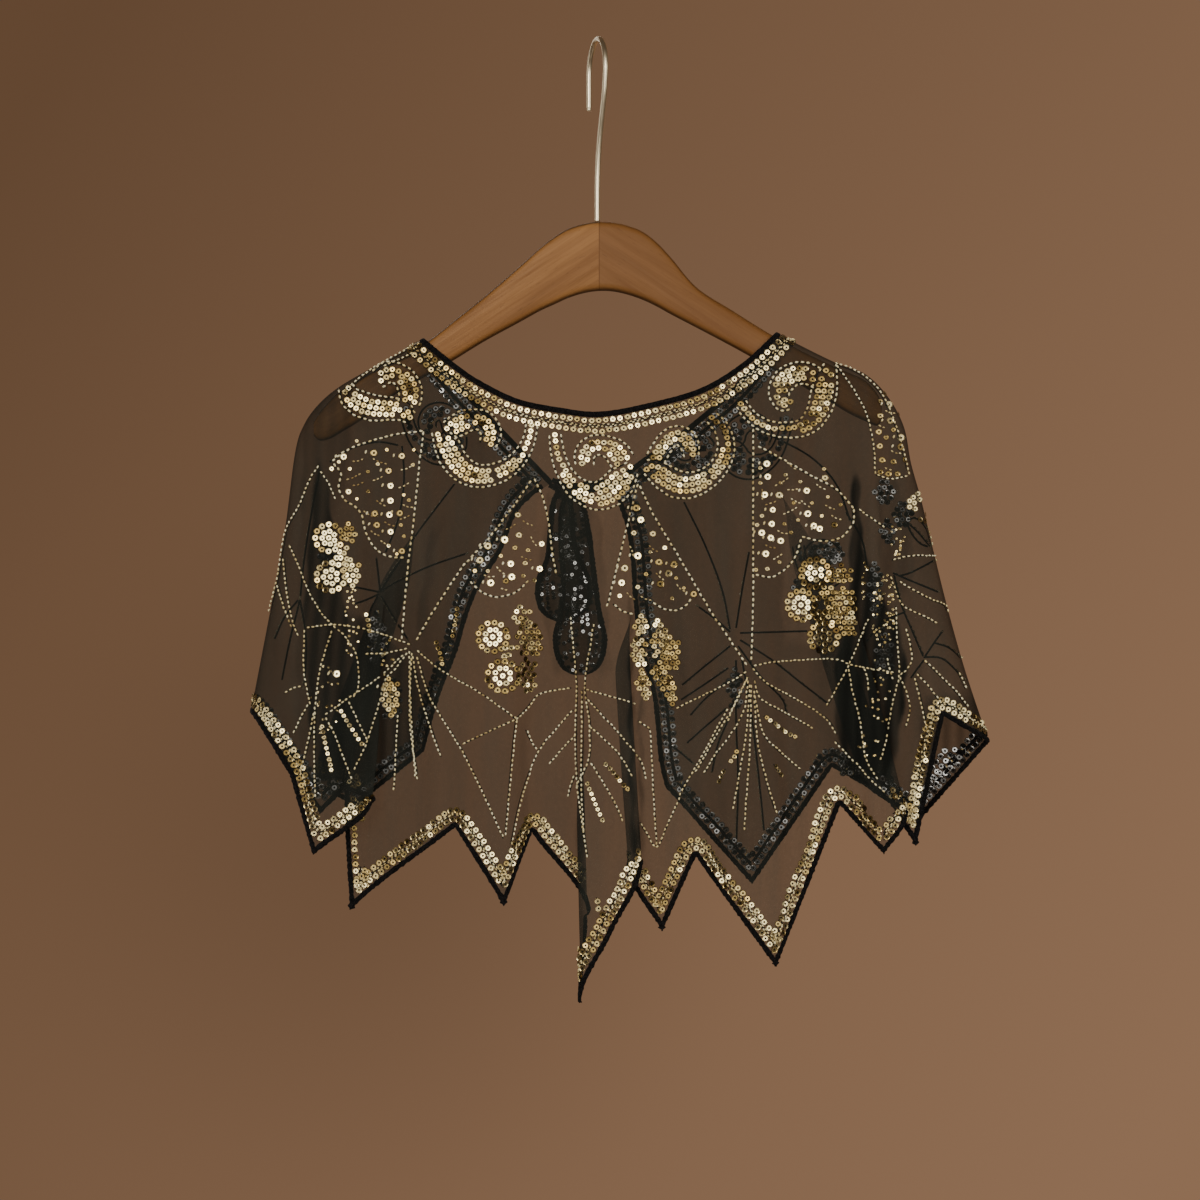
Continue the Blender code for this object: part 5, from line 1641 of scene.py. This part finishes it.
def sewn_on(name, rows, kind, made_of, double=False, wild=0.05):
    rows = np.concatenate(rows)
    spots, normals, along, size, tone = rows[:, :3], rows[:, 3:6], rows[:, 6:9], rows[:, 9], rows[:, 10]
    n = len(rows)
    if kind == "sequin":
        lean = DICE.normal(0, wild, (n, 3)) * (1 + 2.0 * np.clip(0.75 - tone, 0, 1))[:, None] + 0.07 * np.stack([wave(spots, 15.0, 21), np.zeros(n), wave(spots, 15.0, 22)], -1)
        up = unit(normals + lean)
        flash = (tone > 0.90) & (normals[:, 1] < -0.3)
        up[flash] = unit(0.12 * up[flash] + 0.88 * TO_THE_LIGHT)
        turn = DICE.uniform(0, 2 * math.pi, n)
        form, faces, kinds = disc_form(double)
        scale = np.tile([[DISC_WIDE / 2] * 3], (n, 1)) * size[:, None]
        lift = 0.55 + DICE.uniform(0, 0.45, n)
    else:
        up, turn = unit(normals + DICE.normal(0, 0.1, (n, 3))), DICE.normal(0, 0.08, n)
        form, faces, kinds = bead_form()
        wide = BEAD_WIDE / 2 * DICE.uniform(0.93, 1.05, n)
        scale = np.stack([BEAD_LONG * DICE.uniform(0.92, 1.04, n), wide, wide], -1) * size[:, None]
        lift = np.full(n, 1.25)
    side = unit(along - (along * up).sum(-1, keepdims=True) * up)
    other = np.cross(up, side)
    c, s = np.cos(turn)[:, None], np.sin(turn)[:, None]
    side, other = c * side + s * other, c * other - s * side
    parts = form[None] * scale[:, None]
    points = (
        spots[:, None]
        + up[:, None] * lift[:, None, None]
        + parts[..., :1] * side[:, None]
        + parts[..., 1:2] * other[:, None]
        + parts[..., 2:] * up[:, None]
    )
    many = faces[None] + (np.arange(n) * len(form))[:, None, None]
    return add(
        name,
        points.reshape(-1, 3),
        many.reshape(-1, 3),
        made_of,
        smooth=kind == "bead",
        tones=np.repeat(tone, len(form)),
        kinds=np.tile(kinds, n) if kind == "sequin" else None,
    )


def couched(name, lines, made_of, half, deep=0.25, under=0.45):
    """The holding thread of every row, a flat cord on the wrong side of the cloth."""
    points, faces, shift = [], [], 0
    for middle, normals in lines:
        way = unit(np.gradient(middle, axis=0))
        side = unit(np.cross(way, normals))
        core = middle - normals * under
        section = np.stack(
            [core + side * half, core - normals * deep, core - side * half, core + normals * deep], 1
        )
        p, f = swept(core, section)
        points.append(p)
        faces.append(f + shift)
        shift += len(p)
    return add(name, np.concatenate(points), np.concatenate(faces), made_of)


# ---------------------------------------------------------------- binding, ties, hanger
def build_binding():
    """The neck tape, over the left shoulder, along the back and over the right one."""
    side = np.array([0.0035, 0.0110, 0.0200, 0.0310, 0.0550, 0.0850])
    stretches = (
        (LEFT_FRONT, np.concatenate([np.linspace(1, 0.14, 40), side[::-1]])),
        (BACK, np.concatenate([[0.0], side, np.linspace(0.10, 0.90, 90), 1 - side[::-1], [1.0]])),
        (RIGHT_FRONT, np.concatenate([side, np.linspace(0.12, 1, 40)])),
    )
    middle, down = [], []
    for cloth, s in stretches:
        top, below = cloth.panel.place(s, 0.0), cloth.panel.place(s, 0.05)
        way = unit(below - top)
        middle.append(top + way * TAPE_DEEP / 2)
        down.append(way)
    path, down = np.concatenate(middle), np.concatenate(down)
    where = spread(path, 1.1, 0.0)
    path, down = read(path, where), read(down, where)
    along = unit(np.gradient(path, axis=0))
    down = unit(down - (down * along).sum(-1, keepdims=True) * along)
    out = np.cross(along, down)
    turn = 2 * math.pi * np.arange(12) / 12
    rough = 1 + 0.05 * wave(path, 2.0, 9)
    c, s = np.cos(turn), np.sin(turn)
    square = 1 / np.maximum(np.abs(c) ** 4 + np.abs(s) ** 4, 1e-6) ** 0.25
    section = (
        path[:, None]
        + out[:, None] * (rough[:, None] * (TAPE_THICK / 2 + 0.15) * c * square)[..., None]
        + down[:, None] * (rough[:, None] * (TAPE_DEEP / 2 + 0.35) * s * square)[..., None]
    )
    return add("neck_tape", *swept(path, section), TAPE)


class Strip:
    """A tie hanging in depth, from its middle line and widths."""

    def __init__(self, rows, ridges, seed):
        line = Curve(pick(rows, "x", "back", "z", "wide"))
        p = line(np.linspace(0, 1, 110))
        self.middle, self.wide = p[:, :3], p[:, 3]
        self.along = unit(np.gradient(self.middle[:, [0, 2]], axis=0))
        self.across = np.stack([self.along[:, 1], np.zeros(len(p)), -self.along[:, 0]], -1)
        self.ridges, self.seed = ridges, seed

    def at(self, share, shift=0.0):
        """Points across the tie at shares from -1 to 1 of its half width."""
        share = np.asarray(share, float)
        x = self.middle + self.across * (self.wide / 2 * share)[:, None] if share.ndim else self.middle + self.across * (self.wide / 2 * share)[:, None]
        fold = 0.45 * np.sin(share * self.ridges + self.seed + 0.02 * self.middle[:, 2]) * min(1, 1.2 - abs(float(share)))
        y = 1.2 * (1 - float(share) ** 2) + fold + shift
        return to_the_eye(x[:, 0], x[:, 1] + y, x[:, 2])


def build_tie(name, rows, seed):
    strip = Strip(rows, 7.0, seed)
    shares = np.linspace(-1, 1, 21)
    grid = np.stack([strip.at(k) for k in shares])
    points, quads = grid.reshape(-1, 3), grid_faces(*grid.shape[:2])
    cloth = add(name, points, quads, DENSE)
    lines = []
    for k, sign in ((1.0, -1), (-1.0, 1)):
        line = strip.at(k)
        where = spread(line, 1.5, 0.0)
        line = read(line, where)
        across = read(strip.across, where) * sign
        lines.append((line, across, np.tile([0, -1.0, 0], (len(line), 1))))
    edge = edging(name + "_edge", TAPE, lines, 2.1, 0.9)
    work = Work()
    for share, first, last in ((0.60, 22, 102), (0.36, 30, 105), (0.12, 40, 107), (-0.12, 26, 107), (-0.36, 34, 105), (-0.60, 24, 102), (0.80, 60, 98), (-0.80, 62, 96)):
        line = strip.at(share)[first:last]
        line = line + np.stack([0.9 * wave(line, 6.0, 31), np.zeros(len(line)), np.zeros(len(line))], -1)
        # the rows at shares 0.36 and 0.60 get a lighter tone: painted glints along that side of the tie
        row_of(work, [(line, np.tile([0, -1.0, 0], (len(line), 1)))], "sequin", size=0.70, bias=0.22 if abs(share - 0.5) < 0.25 else 0.0, thread=False)
    rows = np.concatenate(work.rows["sequin"])
    work.rows["sequin"] = [rows[DICE.random(len(rows)) < 0.60 + 0.35 * wave(rows[:, :3], 12.0, 33)]]
    discs = sewn_on(name + "_sequins", work.rows["sequin"], "sequin", [GREY, TAPE], wild=0.34)
    outside = np.concatenate(work.rows["sequin"])
    outside[:, 4] *= -1  # the right side, away from the eye
    return cloth, [edge, discs, sewn_on(name + "_gilt", [outside], "sequin", [GILT, TAPE], wild=0.10)]


def build_knot():
    rings, sides = 18, 32
    points, faces = [], []
    for i in range(1, rings):
        lat = math.pi * (i / rings - 0.5)
        for k in range(sides):
            a = 2 * math.pi * k / sides
            ridge = 1 + 0.07 * math.sin(5 * math.sin(a) * 1.6 + 2.0 * math.cos(a)) * math.cos(lat)
            points.append(
                (
                    -21.5 + 11.6 * math.cos(lat) * math.cos(a) * ridge,
                    34.1 + 3.2 * math.sin(lat) * ridge,
                    -332.0 + 7.2 * math.cos(lat) * math.sin(a) * ridge,
                )
            )
    for i in range(rings - 2):
        for k in range(sides):
            a, b = i * sides + k, i * sides + (k + 1) % sides
            faces += [(a, b, b + sides), (a, b + sides, a + sides)]
    points = np.array(points)
    low, high = len(points), len(points) + 1
    points = np.concatenate([points, [(-21.5, 30.9, -332.0), (-21.5, 37.3, -332.0)]])
    for k in range(sides):
        faces += [(low, (k + 1) % sides, k), (high, low - sides + k, low - sides + (k + 1) % sides)]
    return add("knot_of_ties", points, np.array(faces), DENSE)


def build_wood():
    """The arms, round on top and softer below, smooth from end to end."""
    rows = pick(ARMS, "x", "top", "under")
    fine = Curve(rows)(np.linspace(0, 1, 190))
    sides = 40
    turn = 2 * math.pi * (np.arange(sides) + 0.5) / sides
    c, s = np.cos(turn), np.sin(turn)
    section, edge_shades = [], []
    for x, top, under in fine:
        # painted shade along the edges: strong on the left arm's top and on both undersides, slight on the right arm's
        # top where the light falls
        upper = 0.75 if x < 0 else 0.12
        edge_shades.append(np.where(s > 0, upper, 0.7) * smooth_step((np.abs(s) - 0.62) / 0.30))
        near = min(x - rows[0, 0], rows[-1, 0] - x)
        end = min(1.0, 0.62 + near / 24)
        half, middle = (top - under) / 2, (top + under) / 2
        corner = ARM_ROUND * end
        tall = (half - corner) * np.minimum(np.abs(s) * 2.4, 1.0) + corner * np.abs(s)
        section.append(
            np.stack([np.full(sides, x), c * ARM_HALF * end, middle + np.copysign(tall, s)], -1)
        )
    section = np.array(section)
    middle = section.mean(1)
    points, faces = swept(middle, section)
    return add("hanger_arms", points, faces, wood_material(), tones=np.concatenate([np.concatenate(edge_shades), [0.3, 0.3]]))


def build_hook():
    radius = HOOK_INNER + HOOK_WIRE / 2
    side_view = [(0.0, HOOK_FOOT), (0.0, -118.0), (-0.4, -105.0), (-2.2, -90.0), (-7.0, -73.0), (-14.0, -56.0), (-20.0, -41.0)]
    for k in range(13):
        a = math.radians(190 - 190 * k / 12)
        side_view.append((radius * math.cos(a), -HOOK_INNER + radius * math.sin(a)))
    side_view += [(radius, -HOOK_INNER - HOOK_LEG * k / 2) for k in (1, 2)]
    path = Curve(
        [(-y * math.sin(HOOK_YAW) - 0.5, y * math.cos(HOOK_YAW), z) for y, z in side_view]
    )(np.linspace(0, 1, 260))
    path[0, 2] = HOOK_FOOT
    way = unit(np.gradient(path, axis=0))
    side = unit(np.cross(way, np.broadcast_to([math.cos(HOOK_YAW), math.sin(HOOK_YAW), 0.0], way.shape)))
    other = np.cross(way, side)
    turn = 2 * math.pi * np.arange(20) / 20
    wire = (HOOK_WIRE / 2 + 0.15) * np.where(np.arange(260) > 256, 0.8, 1.0)
    section = path[:, None] + wire[:, None, None] * (
        np.cos(turn)[None, :, None] * side[:, None] + np.sin(turn)[None, :, None] * other[:, None]
    )
    return add("hanger_wire", *swept(path, section), steel_material())


# ---------------------------------------------------------------- where the net is gathered, and where shade is painted on it
# Each gather or painted shade by rows down: v, its left and right edge in steps. strength is how much denser and darker
# it is; a negative one makes the net thinner and lighter.
GATHER_SHADE_FAR = (
    (0.95, ((470, 853, 858), (545, 851, 862), (575, 849, 874), (600, 847, 884), (636, 842, 902), (672, 836, 907), (705, 836, 904), (740, 838, 899), (766, 845, 893), (790, 866, 886))),
    (0.80, ((455, 316, 320), (488, 314, 328), (528, 310, 334), (580, 306, 342), (620, 304, 347), (660, 306, 352), (705, 308, 352), (745, 312, 346), (785, 322, 338))),
    (0.66, ((610, 340, 352), (640, 344, 392), (680, 346, 424), (720, 345, 430), (755, 338, 414), (785, 330, 372))),
    (0.60, ((690, 925, 992), (720, 922, 992), (752, 918, 992), (780, 912, 972), (836, 906, 934))),
    (0.35, ((470, 876, 892), (520, 878, 908), (560, 880, 916), (600, 884, 905))),
    (0.30, ((520, 432, 440), (600, 420, 430), (640, 414, 424))),
    (-0.40, ((480, 786, 800), (530, 784, 808), (590, 782, 812), (650, 783, 812))),
)
GATHER_SHADE_NEAR = (
    (0.30, ((382, 322, 356), (420, 306, 352), (470, 302, 346), (522, 300, 336))),
    (-0.55, ((565, 606, 643), (590, 605, 645), (700, 605, 645), (800, 606, 645), (875, 608, 645))),
    (-0.50, ((480, 786, 800), (530, 784, 808), (590, 782, 812), (650, 783, 812))),
    (0.25, ((486, 548, 596), (520, 546, 600), (560, 540, 604), (620, 543, 608), (680, 556, 612))),
    (0.74, ((470, 853, 858), (545, 851, 862), (575, 849, 876), (600, 847, 888), (636, 842, 902), (672, 836, 905), (705, 836, 903), (740, 838, 897), (766, 845, 890), (790, 866, 884))),
    (0.45, ((470, 316, 322), (528, 311, 334), (580, 307, 342), (620, 305, 347), (660, 307, 352), (705, 309, 352), (745, 313, 346), (785, 322, 338))),
    (0.30, ((610, 342, 352), (640, 346, 388), (680, 348, 418), (720, 347, 424), (755, 340, 408), (785, 332, 368))),
    (0.22, ((420, 306, 318), (520, 300, 322), (640, 296, 316), (760, 300, 312))),
    (0.30, ((700, 577, 583), (800, 577, 584), (900, 576, 584), (980, 576, 583))),
    (0.55, ((585, 629, 632), (640, 629, 633), (720, 629, 633), (800, 630, 634), (862, 632, 637))),
    (0.45, ((585, 637, 640), (640, 639, 642), (720, 639, 642), (800, 639, 643), (862, 640, 644))),
)


def gather_shade_of(cloth, gathers):
    """How dense and how darkly shaded the net is at each point: in the tabled zones, partly gathered net and partly
    painted shade, and where it turns edge on to the front view, which is painted fold shade.
    """
    uv = unseen(cloth.points)
    total = np.zeros(len(uv))
    for strength, rows in gathers:
        rows = np.array(rows, float)
        low = np.interp(uv[:, 1], rows[:, 0], rows[:, 1]) + 1.5 * np.sin(uv[:, 1] / 9.0)
        high = np.interp(uv[:, 1], rows[:, 0], rows[:, 2]) + 1.5 * np.sin(uv[:, 1] / 7.0 + 1)
        across = smooth_step((uv[:, 0] - low) / 4.0 + 0.5) * smooth_step((high - uv[:, 0]) / 4.0 + 0.5)
        down = smooth_step((uv[:, 1] - rows[0, 0]) / 14.0) * smooth_step((rows[-1, 0] - uv[:, 1]) / 14.0)
        here = strength * across * down * (0.80 + 0.20 * np.sin(uv[:, 0] / 2.3 + uv[:, 1] / 31.0 + 1.2 * np.sin(uv[:, 1] / 47.0)))
        total = np.where((here < 0) & (total <= 0), here, np.maximum(total, here))
    facing = np.zeros(len(uv))
    np.add.at(facing, cloth.halves.ravel(), np.repeat(np.abs(cloth.facing[:, 1]), 3))
    count = np.bincount(cloth.halves.ravel(), minlength=len(uv))
    facing = facing / np.maximum(count, 1)
    # Painted fold shade: the net is made denser and darker where it turns edge on to a fixed front view.
    edge_on = np.clip(1 / np.maximum(facing, 0.2) - 1.02, 0, 2.0) * 0.16
    return np.where(total < 0, total, np.clip(total + edge_on * (1 - total), 0, 1))


# ---------------------------------------------------------------- the scene
build_view()
NET = net_material()
DENSE = net_material("dense_net", 0.66, 0.90, (0.010, 0.009, 0.0075), False)
TAPE = tape_material("black_edge")
GILT = gilt_material("gilt", (0.065, 0.036, 0.009), (0.36, 0.255, 0.090), (0.62, 0.515, 0.275), (0.18, 0.34), 0.95)
BEADS = gilt_material("gold_beads", (0.30, 0.185, 0.055), (0.86, 0.70, 0.34), (1.0, 0.93, 0.62), (0.34, 0.46), 0.12)
GREY = gilt_material("film_wrong_side", (0.010, 0.010, 0.010), (0.150, 0.145, 0.135), (0.70, 0.69, 0.66), (0.18, 0.30))

BACK = Cloth("cape_back", 430, 150)
LEFT_FRONT = Cloth("cape_front_left", 230, 120)
RIGHT_FRONT = Cloth("cape_front_right", 260, 130)
EDGES = {cloth: free_edge(cloth) for cloth in (BACK, LEFT_FRONT, RIGHT_FRONT)}
NEAR, FAR = Layer(BACK), Layer(LEFT_FRONT, RIGHT_FRONT)

sewn_back, sewn_fronts = Work(), Work()
sew_near(sewn_back, NEAR)
sew_edges(sewn_back, BACK)
sew_far(sewn_fronts, FAR)
for cloth in (LEFT_FRONT, RIGHT_FRONT):
    sew_edges(sewn_fronts, cloth)
sew_glints(sewn_back, NEAR)

net_back = add("net_back", BACK.points, BACK.quads, NET, gather_shade=gather_shade_of(BACK, GATHER_SHADE_NEAR))
net_front_left = add("net_front_left", LEFT_FRONT.points, LEFT_FRONT.quads, NET, gather_shade=gather_shade_of(LEFT_FRONT, GATHER_SHADE_FAR))
net_front_right = add("net_front_right", RIGHT_FRONT.points, RIGHT_FRONT.quads, NET, gather_shade=gather_shade_of(RIGHT_FRONT, GATHER_SHADE_FAR))

hem_back = edging("hem_back", TAPE, [tuple(x[::3] for x in EDGES[BACK])], 1.9, 0.9)
hem_left = edging("hem_front_left", TAPE, [tuple(x[::3] for x in EDGES[LEFT_FRONT])], 1.9, 0.9)
hem_right = edging("hem_front_right", TAPE, [tuple(x[::3] for x in EDGES[RIGHT_FRONT])], 1.9, 0.9)
neck_tape = build_binding()
sequins_back = sewn_on("sequins_back", sewn_back.rows["sequin"], "sequin", [GILT, TAPE])
beads_back = sewn_on("beads_back", sewn_back.rows["bead"], "bead", BEADS)
sequins_fronts = sewn_on("sequins_fronts", sewn_fronts.rows["sequin"], "sequin", [GILT, TAPE, GREY], True, 0.14)
beads_fronts = sewn_on("beads_fronts", sewn_fronts.rows["bead"], "bead", BEADS)
thread_back = couched("thread_back", sewn_back.thread, TAPE, 0.45)
thread_fronts = couched("thread_fronts", sewn_fronts.thread, TAPE, 0.7)
tie_left, with_left = build_tie("tie_left_net", TIE_LEFT, 0.4)
tie_right, with_right = build_tie("tie_right_net", TIE_RIGHT, 2.1)
knot = build_knot()
wood, wire = build_wood(), build_hook()

for piece in (
    net_back, net_front_left, net_front_right, hem_back, hem_left, hem_right, neck_tape, sequins_back, beads_back,
    sequins_fronts, beads_fronts, thread_back, thread_fronts, tie_left, *with_left, tie_right, *with_right, knot, wood, wire,
):
    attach(piece, "root")
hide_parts("cape_back")
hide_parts("cape_front_left")
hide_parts("cape_front_right")
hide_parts("neck_binding")
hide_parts("tie_left")
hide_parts("tie_right")
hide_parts("tie_knot")
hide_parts("hanger_wood")
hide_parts("hanger_hook")


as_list(with_left)
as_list(with_right)
